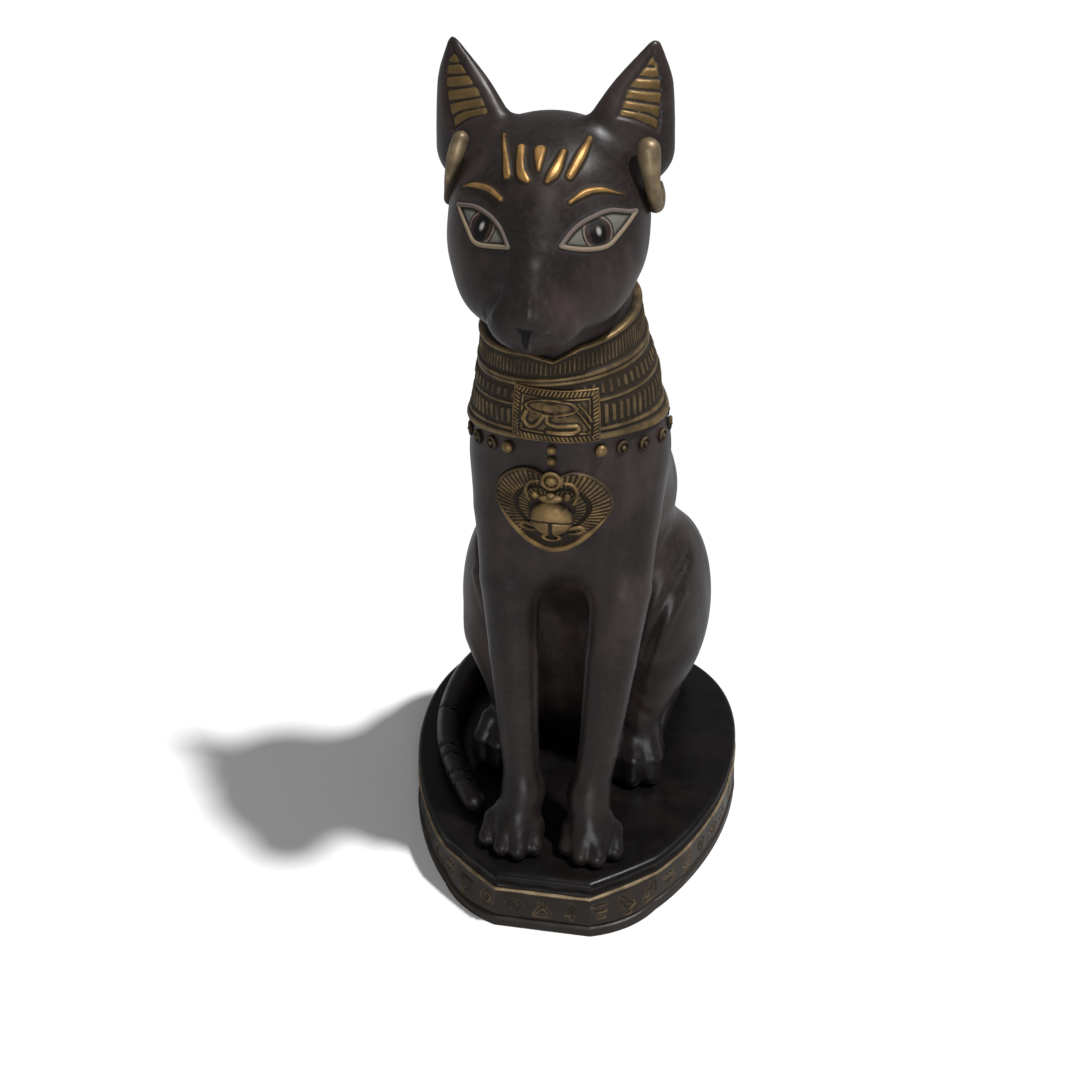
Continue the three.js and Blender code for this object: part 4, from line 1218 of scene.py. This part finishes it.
# Marks on the wall: strokes across a cell of about four by five millimetres, none of them a letter
MARKS = (
    (circle(0, 0.9, 0.8), ((-1.9, -1.4), (-1.1, -0.4), (0, 0), (1.1, -0.4), (1.9, -1.4)),
     ((-1.9, -1.9), (1.9, -1.9))),
    (circle(0, 0.1, 1.5), circle(0, 0.1, 0.4)),
    (((-2, 0.6), (-1.3, 1.3), (-0.6, 0.6), (0.1, 1.3), (0.8, 0.6), (1.5, 1.3)),
     ((-2, -1.1), (-1.3, -0.4), (-0.6, -1.1), (0.1, -0.4), (0.8, -1.1), (1.5, -0.4))),
    (((-1.9, 0.3), (-1, 1.4), (-0.3, 1.1), (0.2, 0.2), (1.9, -0.5), (0.3, -1), (-0.7, -0.6), (-1.2, 0.5)),
     ((0, -1), (-0.2, -2)), ((-0.8, -2), (0.5, -2))),
    (((0, -2), (0, 1.9)), ((-1.2, 0.2), (0, 1.2), (1.2, 0.2)), ((-1.2, -1), (0, 0), (1.2, -1))),
    (((-1.9, 0), (-0.7, 1), (0.7, 1), (1.9, 0), (0.7, -1), (-0.7, -1), (-1.9, 0)), circle(0, 0, 0.35)),
    (((-1.9, 1.2), (-1.3, -0.6), (0, -1.4), (1.3, -0.6), (1.9, 1.2), (-1.9, 1.2)),
     ((-1.2, -2.1), (1.2, -2.1))),
    (((-1.9, -1.6), (-1.9, -0.6), (-0.8, -0.6), (-0.8, 0.4), (0.4, 0.4), (0.4, 1.5), (1.8, 1.5), (1.8, -1.6),
      (-1.9, -1.6)),),
    (((-1.9, 1.3), (1.9, 1.3)), ((-1.3, 0), (1.3, 0)), ((-0.7, -1.3), (0.7, -1.3))),
)
MARK_PITCH = 6.1
MARK_MIDDLE = 6.0
MARK_SCALE = (0.85, 1, 1.15)
MARK_RADIUS = 0.16


def mark_gap(along, height, perimeter):
    """Distance to the marks' strokes on the unrolled wall: along from the front's middle, and up."""
    strokes = []
    count = int(perimeter // MARK_PITCH)
    for n in range(count):
        middle = ((n - count / 2 + 0.5) * perimeter / count, 0, MARK_MIDDLE)
        for stroke in MARKS[(n * 4 + 1) % len(MARKS)]:
            path = np.array([(x, 0, z) for x, z in stroke]) * MARK_SCALE + middle
            strokes.append((path, np.full(len(path), MARK_RADIUS)))
    return strokes_gap(np.column_stack([along, np.zeros_like(along), height]), strokes)


# Rings of the plinth's top, as shares of the last one, which stands inside the moulding
TOP_SHARES = (0.0, 0.3, 0.55, 0.72, 0.84, 0.92)
TOP_INSET = 0.945
PLINTH_STEPS = 960
WALL_TOP = 9.2
GOLD_LINE_HALF = 0.68


def plinth_profile():
    """Height, how far in from the moulding's edge, and how much of the foot's bulge, downwards."""
    profile = [(PLINTH_HEIGHT - 0.02, 3.2, 0), (PLINTH_HEIGHT, 2.0, 0)]
    for a in np.linspace(0.25, 1.4, 7):
        profile.append((PLINTH_HEIGHT - 1.2 * (1 - math.cos(a)), 2.0 - 1.3 * math.sin(a), 0))
    for z in np.linspace(12.6, 10.75, 9):
        profile.append((z, 0.7 + 0.5 * fade(z, 13.2, 10.9), 0))
    for z in np.linspace(10.4, 9.35, 9):
        profile.append((z, 0.75 - 0.4 * math.cos((z - GOLD_LINE_MIDDLE) * 3), 0))
    for z in np.linspace(WALL_TOP, WALL_FOOT, 32):
        bulge = fade(z, WALL_TOP, WALL_FOOT)
        profile.append((z, 0.7 - 0.2 * bulge, bulge))
    foot = ((2.75, 0.75), (2.6, 1.15), (2.45, 1.2), (2.3, 0.75), (2.15, 0.3), (1.95, 0.12))
    profile += [(z, inset, 1) for z, inset in foot]
    profile += [(z, 0.1 - 0.1 * fade(z, 2, 0), 1) for z in (1.4, 0.8, 0.3, 0.08)]
    return profile + [(0.0, 0.15, 1), (0.0, 1.5, 1)]


def even_outlines():
    """Outlines of the rim and the foot by even steps around the rim, and the rim's length."""
    lines = [np.vstack([line, line[:1]]) for line in map(plinth_outline, (RIM_BULGE, FOOT_BULGE))]
    run = run_along(lines[0])
    numbers = np.arange(len(run))
    index = np.interp(np.arange(PLINTH_STEPS) * run[-1] / PLINTH_STEPS, run, numbers)
    even = [np.column_stack([np.interp(index, numbers, line[:, k]) for k in (0, 1)]) for line in lines]
    return (*even, run[-1])


def model_plinth():
    profile = plinth_profile()
    rings = len(TOP_SHARES) + len(profile) + 2
    piece, local = add_sheet("plinth", PLINTH_STEPS, rings - 1)
    ring = sheet_steps(local[:, 1], rings - 1)
    step = sheet_steps(local[:, 0], PLINTH_STEPS) % PLINTH_STEPS
    rim, foot, perimeter = even_outlines()
    points = np.zeros((len(step), 3))
    wall = np.zeros(len(step))
    for n in range(rings):
        mine = ring == n
        s = step[mine]
        if n < len(TOP_SHARES):
            points[mine, :2] = rim[s] * TOP_SHARES[n] * TOP_INSET
            points[mine, 2] = PLINTH_HEIGHT
        elif n < len(TOP_SHARES) + len(profile):
            height, inset, bulge = profile[n - len(TOP_SHARES)]
            line = rim * (1 - bulge) + foot * bulge
            points[mine, :2] = line[s] * (1 - inset / PLINTH_HALF_LENGTH)
            points[mine, 2] = height
            wall[mine] = fade(height, 10.9, 9.6)
        else:
            points[mine, :2] = foot[s] * 0.5 * (rings - 1 - n)
    along = ((step * perimeter / PLINTH_STEPS + perimeter / 2) % perimeter) - perimeter / 2
    height = points[:, 2]
    on_wall = (height < WALL_TOP + 0.1) & (height > WALL_FOOT - 0.1)
    mark = far_off(points)
    mark[on_wall] = mark_gap(along[on_wall], height[on_wall], perimeter)
    line = np.where(height < 12, np.abs(height - GOLD_LINE_MIDDLE) - GOLD_LINE_HALF, FAR)
    for name, values in (("line", line), ("mark", mark), ("wall", wall), ("along", along)):
        paint(piece, name, values)
    put_points(piece, points)
    close_seams(piece)
    points = points_of(piece)
    mark, along = painted(piece, "mark"), painted(piece, "along")
    height = points[:, 2]
    sunk = 1000 * sizes().mark_depth * fade(-mark, -MARK_RADIUS, 0.12)
    wander = 0.07 * np.sin(along * 0.37 + 1) + 0.05 * np.sin(along * 0.83 + height)
    worn = np.where((height > 0.5) & (height < 13), wander, 0) - np.where(height < 13, 0.12, 0)
    points += normals_of(piece) * (worn - sunk)[:, None]
    points[:, 2] -= PLINTH_HEIGHT
    put_points(piece, points)
    settle(piece, plinth_finish())


# Collar, plaque and beads

# Smooth rings of the collar: share of the way down where each starts and ends, and its relief
COLLAR_RINGS = (
    (-0.01, 0.055, 0.5), (0.285, 0.335, 0.42), (0.34, 0.385, 0.2), (0.57, 0.6, 0.25), (0.855, 0.905, 0.36),
    (0.92, 1.01, 0.5),
)
LIP_NOTCH = 1.9
COLLAR_RADIUS = 18.0  # at which the pitch of the bars holds
# Rows of bars: start and end, pitch and breadth in millimetres, share of the bar relief
COLLAR_ROWS = ((0.075, 0.27, 0.9, 0.5, 0.6), (0.41, 0.545, 1.7, 0.8, 0.9), (0.62, 0.84, 1.5, 0.85, 1.0))


def uneven(number):
    """A repeatable number from 0 to 1 for each whole number."""
    return np.abs(np.sin(number * 12.9898 + 4.1) * 43758.5453) % 1


def collar_relief(share, along):
    height = np.zeros(len(share))
    raised = np.zeros(len(share))
    for start, end, relief in COLLAR_RINGS:
        t = np.clip((share - start) / (end - start), 0, 1)
        crown = np.sqrt(np.maximum(1 - (2 * t - 1) ** 2, 0))
        height = np.maximum(height, relief * crown)
        raised = np.maximum(raised, 0.85 * crown**2)
    for start, end, pitch, breadth, relief in COLLAR_ROWS:
        number, off = stripes(along, pitch)
        trim = 0.02 * uneven(number)
        inside = fade(share, start + trim, start + trim + 0.018) * fade(share, end - trim, end - trim - 0.018)
        bar = fade(off, breadth / 2 + 0.12, breadth / 2 - 0.2) * inside * (0.8 + 0.2 * uneven(number + 7))
        height = np.maximum(height, 1000 * sizes().bar_relief * relief * bar)
        raised = np.maximum(raised, 0.6 * bar)
    return height, raised


def model_collar():
    around, rows, inner = 880, 84, 6
    piece, local = add_sheet("collar", around, rows + inner)
    step = sheet_steps(local[:, 0], around) % around
    row = sheet_steps(local[:, 1], rows + inner) % (rows + inner)
    angle = from_front(step * 2 * math.pi / around)
    share = np.clip(row / (rows - 1), 0, 1)
    inside = row >= rows
    share = np.where(inside, 0.97 - 0.94 * (row - rows) / (inner - 1), share)
    top, foot = collar_top(angle), collar_foot(angle)
    notch = LIP_NOTCH * np.maximum(1 - np.abs(angle) / 0.3, 0) ** 1.2
    height = top + (foot - top) * share - notch * np.clip(1 - share / 0.27, 0, 1)
    relief, raised = collar_relief(share, angle * COLLAR_RADIUS)
    thickness = 1000 * sizes().collar_thickness
    edge = np.minimum(row, rows - 1 - row) / 2.0
    rounding = 0.5 * (1 - quarter_round(edge))
    slim = thickness * (1 - 0.35 * fade(share, 0.6, 1.0))
    proud = np.where(inside, -1.6, slim + relief - rounding)
    put_points(piece, around_neck(angle, height, proud))
    paint(piece, "raised", np.where(inside, 0, raised))
    close_seams(piece)
    settle(piece, gold_finish("Rubbed gold collar", colours().bronze))


PLAQUE_MIDDLE = 98.8
PLAQUE_TURN = 0.035
PLAQUE_HALF = (7.65, 5.1)
PLAQUE_FRAME = 1.5
PLAQUE_RADIUS = 17.5
TICK_PITCH = 0.72
# Strokes of the eye on the plaque, across and up from its middle, with their breadth
EYE_MOTIF = (
    (((-5.3, 1.6), (-4.0, 2.6), (-0.8, 3.0), (2.4, 2.6), (3.9, 1.6)), 0.2),
    (((-5.3, 1.6), (-4.0, 0.7), (-0.8, 0.3), (2.4, 0.7), (3.9, 1.6)), 0.2),
    (((2.9, 2.2), (4.4, 0.2), (5.9, -2.2)), 0.18),
    (((3.9, 2.4), (5.1, 0.9), (6.1, -0.9)), 0.18),
    (((-5.0, 0.4), (-5.4, -1.2), (-4.4, -2.4), (-3.2, -1.9), (-2.5, -0.9), (-1.9, 0.2)), 0.4),
    (((-1.3, 0.2), (-1.2, -1.2), (0.2, -1.8), (2.0, -1.7), (3.6, -1.7), (3.9, -2.5), (2.4, -3.0),
      (-1.2, -2.9)), 0.38),
)


def model_plaque():
    piece, local = add_sheet("plaque", 150, 100)
    across, up = local[:, 0] * PLAQUE_HALF[0], local[:, 1] * PLAQUE_HALF[1]
    from_side, from_top = PLAQUE_HALF[0] - np.abs(across), PLAQUE_HALF[1] - np.abs(up)
    from_edge = np.minimum(from_side, from_top)
    inward = from_edge - PLAQUE_FRAME
    frame_height = fade(inward, 0.15, -0.15)
    border = fade(inward, 0.55, 0.4) * fade(inward, 0.1, 0.25)
    _, off = stripes(np.where(from_side < from_top, up, across) + 0.5 * from_edge, TICK_PITCH)
    ticks = fade(off, 0.3, 0.1) * fade(from_edge, 0.25, 0.4) * fade(inward, -0.1, -0.3)
    strokes = [
        (smooth_path([(x, 0, z) for x, z in path], 24), np.full(24, breadth)) for path, breadth in EYE_MOTIF
    ]
    motif = strokes_gap(np.column_stack([across, np.zeros_like(across), up]), strokes)
    pupil = np.hypot((across + 0.8) / 1.7, (up - 1.6) / 0.8) - 1
    lines = fade(-motif, -0.1, 0.22)
    relief = 0.45 * frame_height + 0.3 * border
    relief = relief - 0.22 * frame_height * (1 - ticks) * fade(from_edge, 0.2, 0.35)
    relief = relief + 0.42 * lines + 0.3 * fade(pupil, 0.15, -0.2)
    edge = 0.35 * (1 - quarter_round(from_edge / 0.35))
    thickness = 1000 * (sizes().collar_thickness + sizes().plaque_relief) - 0.45
    angle = PLAQUE_TURN + across / PLAQUE_RADIUS
    put_points(piece, around_neck(angle, PLAQUE_MIDDLE + up, thickness + relief - edge))
    field, brim = fade(inward, 0.5, 0.9), fade(from_edge, 0.4, 0.1)
    raised = np.maximum.reduce([0.5 * field, 0.8 * ticks, 0.9 * lines, 0.75 * border, 0.9 * brim])
    paint(piece, "raised", np.where((motif > 0) & (motif < 0.35), raised * 0.25, raised))
    face_outwards(piece)
    outward = normals_of(piece)[:, 1].mean() < 0
    modify(piece, "SOLIDIFY", thickness=2.4, offset=-1 if outward else 1, use_even_offset=False)
    face_outwards(piece)
    settle(piece, gold_finish("Rubbed gold plaque", colours().pendant))


BEAD_TURNS = (0.5, 1.9)
BEAD_PITCH = 4.4
BEAD_RING_RADIUS = 17.6
PENDANT_BEAD_DROPS = (1.9, 4.2)


def model_beads():
    """Hanging beads: a plain one next to the plaque, then ringed ones, and two that carry the pendant."""
    made = []
    radius = 500 * sizes().bead_diameter
    turns = np.arange(*BEAD_TURNS, BEAD_PITCH / BEAD_RING_RADIUS)
    for angle, n in [(side * turn, n) for side in SIDES for n, turn in enumerate(turns)]:
        turn = np.array([angle])
        height = collar_top(turn) + (collar_foot(turn) - collar_top(turn)) * 1.13
        place = around_neck(turn, height, np.array([0.2]))[0]
        core = radius if n == 0 else 0.45 * radius
        made.append(add_ball(place, (core, core, core), segments=20, rings=12))
        if n:
            made.append(add_ring(place, 0.9 * radius, 0.26 * radius, angle, (28, 10)))
    for drop in PENDANT_BEAD_DROPS:
        front = np.array([0.0])
        place = around_neck(front, collar_foot(front) - drop, np.array([0.4]))[0]
        made.append(add_ball(place, [0.72 * radius] * 3, segments=20, rings=12))
    piece = joined("beads", made)
    paint(piece, "raised", fade(neck_gap(points_of(piece)), 0.2, 1.2))
    settle(piece, gold_finish("Rubbed gold pendant", colours().pendant))


# Pendant and scarab

PENDANT_MIDDLE = (-1.1, 79.0)
PENDANT_HALF = (11.25, 9.75)


def pendant_edge(turn):
    lobes = 0.2 * np.abs(np.sin(turn)) ** 1.5 * np.cos(turn)
    notch = 0.3 * np.exp(-((turn / 0.3) ** 2))
    return 1 + lobes - notch - (0.07 + 0.04 * np.cos(turn)) * np.abs(np.sin(2 * turn))


def on_pendant(across, up, proud):
    across, up = np.atleast_1d(across).astype(float), np.atleast_1d(up).astype(float)
    spots = on_chest(PENDANT_MIDDLE[0] + across, PENDANT_MIDDLE[1] + up)
    return spots - np.outer(np.broadcast_to(proud, across.shape), (0, 1, 0))


def feathers(share, turn, start, end, count, sweep):
    """Relief of one row of feathers between two shares of the pendant's radius."""
    number, off = stripes(np.abs(turn) / math.pi * count + sweep * share, 1)
    tip = 0.03 * uneven(number)
    inside = fade(share, start, start + 0.03) * fade(share, end + tip, end + tip - 0.04)
    return inside * fade(off, 0.47, 0.2)


def model_pendant():
    around, rings = 300, 100
    bpy.ops.object.select_all(action="DESELECT")
    bpy.ops.mesh.primitive_uv_sphere_add(segments=around, ring_count=rings, radius=1)
    piece = joined("pendant", [bpy.context.object])
    x, y, z = points_of(piece).T
    down = np.rint(np.arccos(np.clip(z, -1, 1)) / math.pi * rings) / rings
    turn = from_front(np.rint(np.arctan2(x, y) / (2 * math.pi) * around) * 2 * math.pi / around)
    front = down < 0.8
    share = np.clip(np.where(front, down / 0.78, (1 - down) / 0.2), 0, 1)
    reach = pendant_edge(turn) * share
    across, up = reach * np.sin(turn) * PENDANT_HALF[0], reach * np.cos(turn) * PENDANT_HALF[1]
    low = fade(np.abs(turn), 1.5, 2.5)
    plain = fade(np.abs(turn), 2.75, 2.3)
    outer = plain * feathers(share, turn, 0.64, 0.96 - 0.07 * low, 31, 2.4)
    inner = plain * feathers(share, turn, 0.38, 0.58, 21, 1.6)
    rim = fade(share, 0.95 - 0.09 * low, 0.97 - 0.07 * low) * fade(share, 1.0, 0.985)
    dip = fade(np.abs(share - 0.61), 0.035, 0.012)
    ridge = 0.6 + (0.15 + 0.35 * low) * rim
    relief = np.maximum.reduce([0.55 + 0.36 * outer, 0.5 + 0.32 * inner, ridge]) - 0.2 * dip
    relief = np.where(share > 0.985, relief - 0.3 * fade(share, 0.985, 1.0), relief)
    proud = np.where(front, relief * 1000 * sizes().pendant_relief / 1.05, -1.5)
    put_points(piece, on_pendant(across, up, proud))
    raised = np.maximum.reduce([0.5 * outer, 0.45 * inner, (0.4 + 0.55 * low) * rim])
    paint(piece, "raised", np.where(front, raised, 0))
    face_outwards(piece)
    settle(piece, gold_finish("Rubbed gold pendant", colours().pendant))


# Beetle's legs on the cat's left, across and up from the pendant's middle, with their radii
SCARAB_LIMBS = (
    (((2.2, 6.3), (3.9, 5.9), (4.8, 4.3), (4.5, 2.6), (3.9, 1.6)), (0.28, 0.34, 0.36, 0.34, 0.26)),
    (((2.2, -4.3), (3.6, -3.9), (5.2, -3.6), (6.0, -4.3), (4.6, -5.0), (3.0, -5.0)),
     (0.3, 0.34, 0.36, 0.34, 0.3, 0.26)),
    (((2.4, 2.8), (2.9, 3.4), (2.5, 3.9)), (0.7, 0.8, 0.5)),
)
SCARAB_HALF = (4.3, 2.35, 4.0)
SCARAB_MIDDLE = -1.7
GROOVE_DEPTH = 0.32
# Head plate, brow and sun disc of the beetle: height over the pendant's middle, and radii
SCARAB_BALLS = ((2.9, (2.4, 1.5, 0.8)), (3.7, (0.9, 1.5, 0.5)), (6.6, (1.2, 1.0, 1.2)))


def model_scarab():
    body = joined("beetle", [add_ball((0, 0, 0), (1, 1, 1), segments=96, rings=64)])
    local = points_of(body)
    across, up = SCARAB_HALF[0] * local[:, 0], SCARAB_HALF[2] * local[:, 2]
    seam = 0.15 - 0.03 * across**2
    wing_line = fade(np.abs(up + 0.25 - seam), 0.28, 0.1)
    middle_line = fade(np.abs(across), 0.52, 0.3) * (up < seam - 0.25)
    groove = np.maximum(wing_line, middle_line)
    bulge = (SCARAB_HALF[1] - GROOVE_DEPTH * groove) * local[:, 1]
    spot = on_pendant(0, SCARAB_MIDDLE, 0.5)[0]
    put_points(body, spot + np.column_stack([across, bulge, up]))
    paint(body, "raised", (1 - groove) * fade(-local[:, 1], 0.1, 0.9))
    bare = [add_ball(on_pendant(0, z, 0.9)[0], radii, segments=28, rings=16) for z, radii in SCARAB_BALLS]
    bare.append(add_ring(on_pendant(0, 6.6, 1.35)[0], 1.62, 0.34))
    bare.append(add_ring(on_pendant(0, -6.1, 1.2)[0], 1.2, 0.32, segments=(40, 12)))
    bare[-1].scale = (1.3, 0.55, 1)
    for side in SIDES:
        for places, radii in SCARAB_LIMBS:
            flat = smooth_path(places, 20)
            path = on_pendant(side * flat[:, 0], flat[:, 1], 1.25)
            bare.append(add_rod("leg", path, round_ended(spread(radii, 20), path), 16))
    for piece in bare:
        paint(piece, "raised", np.full(len(piece.data.vertices), 0.6))
    piece = joined("scarab", [body, *bare])
    settle(piece, gold_finish("Rubbed gold pendant", colours().pendant))


# Earrings

# Balls along each earring in the head's frame: the cat's right one, then its left
EARRINGS = (
    ((-14.1, -1.6, 14.0, 1.35), (-15.3, -2.6, 10.4, 1.5), (-16.3, -2.6, 6.4, 1.3), (-16.9, -1.6, 3.0, 1.2),
     (-17.5, 0.4, 1.0, 1.2), (-17.8, 2.4, 2.0, 1.1), (-17.2, 3.4, 4.6, 0.8)),
    ((17.0, -1.0, 13.4, 2.1), (17.5, -2.0, 10.2, 2.0), (18.0, -2.4, 6.2, 1.45), (18.2, -1.4, 2.8, 1.4),
     (18.4, 0.4, 1.0, 1.5), (18.5, 1.9, 2.3, 1.4), (18.0, 2.9, 4.6, 1.1)),
)


def model_earrings():
    made = []
    for balls in EARRINGS:
        path = smooth_path(balls, 80)
        places = from_head(path[:, :3])
        radii = sizes().earring_share * path[:, 3]
        made.append(add_rod("earring", places, round_ended(radii, places), 32))
    piece = joined("earrings", made)
    paint(piece, "raised", fade(head_gap(to_head(points_of(piece))), 0.1, 2.0))
    settle(piece, gold_finish("Pale gold earrings", colours().horn))


# Stage

CAMERA_AZIMUTH = math.radians(9.61)
CAMERA_ELEVATION = math.radians(34.0)
CAMERA_DISTANCE = 0.348
CAMERA_TARGET = Vector((-0.00742, 0.0, 0.0692))
CAMERA_FILM = 36.0
CAMERA_LENS = 56.67
SUN_WAY = Vector((0.385, -0.04, 0.92))
SUN_STRENGTH = 3.45
SUN_ANGLE = math.radians(3.5)
FILL_PLACE = (0.15, -0.93, 0.3)
FILL_WAY = Vector((0.15, -0.93, 0.2))
FILL_POWER = 3.0
FILL_SIZE = 0.35
SKY_STRENGTH = 0.24
FLOOR_SHADE = (0.815, 0.815, 0.82)
FLOOR_BOUNCE = (0.4, 0.4, 0.4)  # the floor as the cat sees it


def aim(thing, way):
    thing.rotation_euler = way.to_track_quat("Z", "Y").to_euler()


def model_stage():
    bpy.ops.object.select_all(action="DESELECT")
    bpy.ops.mesh.primitive_plane_add(size=4)
    floor = bpy.context.object
    floor.name = "studio_floor"
    finish, recipe, shader = new_finish("Pale studio floor", 0.2)
    tone = recipe.mix(recipe.noise(300), colours().floor, FLOOR_SHADE)
    seen = recipe.add("ShaderNodeLightPath").outputs["Is Camera Ray"]
    recipe.feed(shader["Base Color"], recipe.mix(seen, FLOOR_BOUNCE, tone))
    shader["Roughness"].default_value = 0.8
    floor.data.materials.append(finish)

    world = bpy.data.worlds.new("Studio")
    bpy.context.scene.world = world
    world.use_nodes = True
    sky = world.node_tree.nodes["Background"].inputs
    sky["Color"].default_value = (1, 1, 1, 1)
    sky["Strength"].default_value = SKY_STRENGTH

    bpy.ops.object.light_add(type="SUN")
    sun = bpy.context.object
    sun.name = "key_light"
    sun.data.energy = SUN_STRENGTH
    sun.data.angle = SUN_ANGLE
    aim(sun, SUN_WAY)
    bpy.ops.object.light_add(type="AREA", location=FILL_PLACE)
    fill = bpy.context.object
    fill.name = "fill_light"
    fill.data.energy = FILL_POWER
    fill.data.size = FILL_SIZE
    aim(fill, FILL_WAY)

    bpy.ops.object.camera_add()
    camera = bpy.context.object
    camera.name = "camera"
    level = math.cos(CAMERA_ELEVATION)
    back = Vector((
        math.sin(CAMERA_AZIMUTH) * level, -math.cos(CAMERA_AZIMUTH) * level, math.sin(CAMERA_ELEVATION)
    ))
    camera.location = CAMERA_TARGET + CAMERA_DISTANCE * back
    aim(camera, back)
    camera.data.lens = CAMERA_LENS
    camera.data.sensor_width = CAMERA_FILM
    camera.data.clip_start = 0.01
    bpy.context.scene.camera = camera
    bpy.context.scene.view_settings.view_transform = "Standard"


# Operators


class CAT_OT_head(bpy.types.Operator):
    """Model the head with its ears, eyes and gold strokes"""

    bl_idname = "cat.head"
    bl_label = "Head"
    bl_options = {"REGISTER", "UNDO"}

    def execute(self, context):
        model_head()
        return {"FINISHED"}


class CAT_OT_body(bpy.types.Operator):
    """Model the trunk, legs and paws"""

    bl_idname = "cat.body"
    bl_label = "Body"
    bl_options = {"REGISTER", "UNDO"}

    def execute(self, context):
        model_body()
        return {"FINISHED"}


class CAT_OT_tail(bpy.types.Operator):
    """Model the tail that lies along the plinth"""

    bl_idname = "cat.tail"
    bl_label = "Tail"
    bl_options = {"REGISTER", "UNDO"}

    def execute(self, context):
        model_tail()
        return {"FINISHED"}


class CAT_OT_plinth(bpy.types.Operator):
    """Model the plinth with its gold line and marks"""

    bl_idname = "cat.plinth"
    bl_label = "Plinth"
    bl_options = {"REGISTER", "UNDO"}

    def execute(self, context):
        model_plinth()
        return {"FINISHED"}


class CAT_OT_collar(bpy.types.Operator):
    """Model the broad collar"""

    bl_idname = "cat.collar"
    bl_label = "Collar"
    bl_options = {"REGISTER", "UNDO"}

    def execute(self, context):
        model_collar()
        return {"FINISHED"}


class CAT_OT_plaque(bpy.types.Operator):
    """Model the plaque with the eye"""

    bl_idname = "cat.plaque"
    bl_label = "Plaque"
    bl_options = {"REGISTER", "UNDO"}

    def execute(self, context):
        model_plaque()
        return {"FINISHED"}


class CAT_OT_beads(bpy.types.Operator):
    """Model the hanging beads"""

    bl_idname = "cat.beads"
    bl_label = "Beads"
    bl_options = {"REGISTER", "UNDO"}

    def execute(self, context):
        model_beads()
        return {"FINISHED"}


class CAT_OT_pendant(bpy.types.Operator):
    """Model the feathered pendant"""

    bl_idname = "cat.pendant"
    bl_label = "Pendant"
    bl_options = {"REGISTER", "UNDO"}

    def execute(self, context):
        model_pendant()
        return {"FINISHED"}


class CAT_OT_scarab(bpy.types.Operator):
    """Model the beetle on the pendant"""

    bl_idname = "cat.scarab"
    bl_label = "Scarab"
    bl_options = {"REGISTER", "UNDO"}

    def execute(self, context):
        model_scarab()
        return {"FINISHED"}


class CAT_OT_earrings(bpy.types.Operator):
    """Model both earrings"""

    bl_idname = "cat.earrings"
    bl_label = "Earrings"
    bl_options = {"REGISTER", "UNDO"}

    def execute(self, context):
        model_earrings()
        return {"FINISHED"}


class CAT_OT_stage(bpy.types.Operator):
    """Set the floor, lights and camera"""

    bl_idname = "cat.stage"
    bl_label = "Stage"
    bl_options = {"REGISTER", "UNDO"}

    def execute(self, context):
        model_stage()
        return {"FINISHED"}


OPERATORS = (
    CAT_OT_head,
    CAT_OT_body,
    CAT_OT_tail,
    CAT_OT_plinth,
    CAT_OT_collar,
    CAT_OT_plaque,
    CAT_OT_beads,
    CAT_OT_pendant,
    CAT_OT_scarab,
    CAT_OT_earrings,
    CAT_OT_stage,
)


class CAT_PT_panel(bpy.types.Panel):
    """Lists the pieces of the cat figure, with their sizes and colours"""

    bl_idname = "CAT_PT_panel"
    bl_label = "Bastet cat"
    bl_space_type = "VIEW_3D"
    bl_region_type = "UI"
    bl_category = "Bastet cat"

    def draw(self, context):
        for item in OPERATORS:
            self.layout.operator(item.bl_idname)
        for group in (context.scene.cat_sizes, context.scene.cat_colours):
            box = self.layout.box()
            for name in group.bl_rna.properties.keys():
                if name not in ("rna_type", "name"):
                    box.prop(group, name)


CLASSES = (CatSizes, CatColours, *OPERATORS, CAT_PT_panel)


def register():
    for item in CLASSES:
        bpy.utils.register_class(item)
    bpy.types.Scene.cat_sizes = PointerProperty(type=CatSizes)
    bpy.types.Scene.cat_colours = PointerProperty(type=CatColours)


def unregister():
    del bpy.types.Scene.cat_colours
    del bpy.types.Scene.cat_sizes
    for item in reversed(CLASSES):
        bpy.utils.unregister_class(item)


def main():
    register()
    for item in OPERATORS:
        group, name = item.bl_idname.split(".")
        getattr(getattr(bpy.ops, group), name)()


if __name__ == "__main__":
    main()
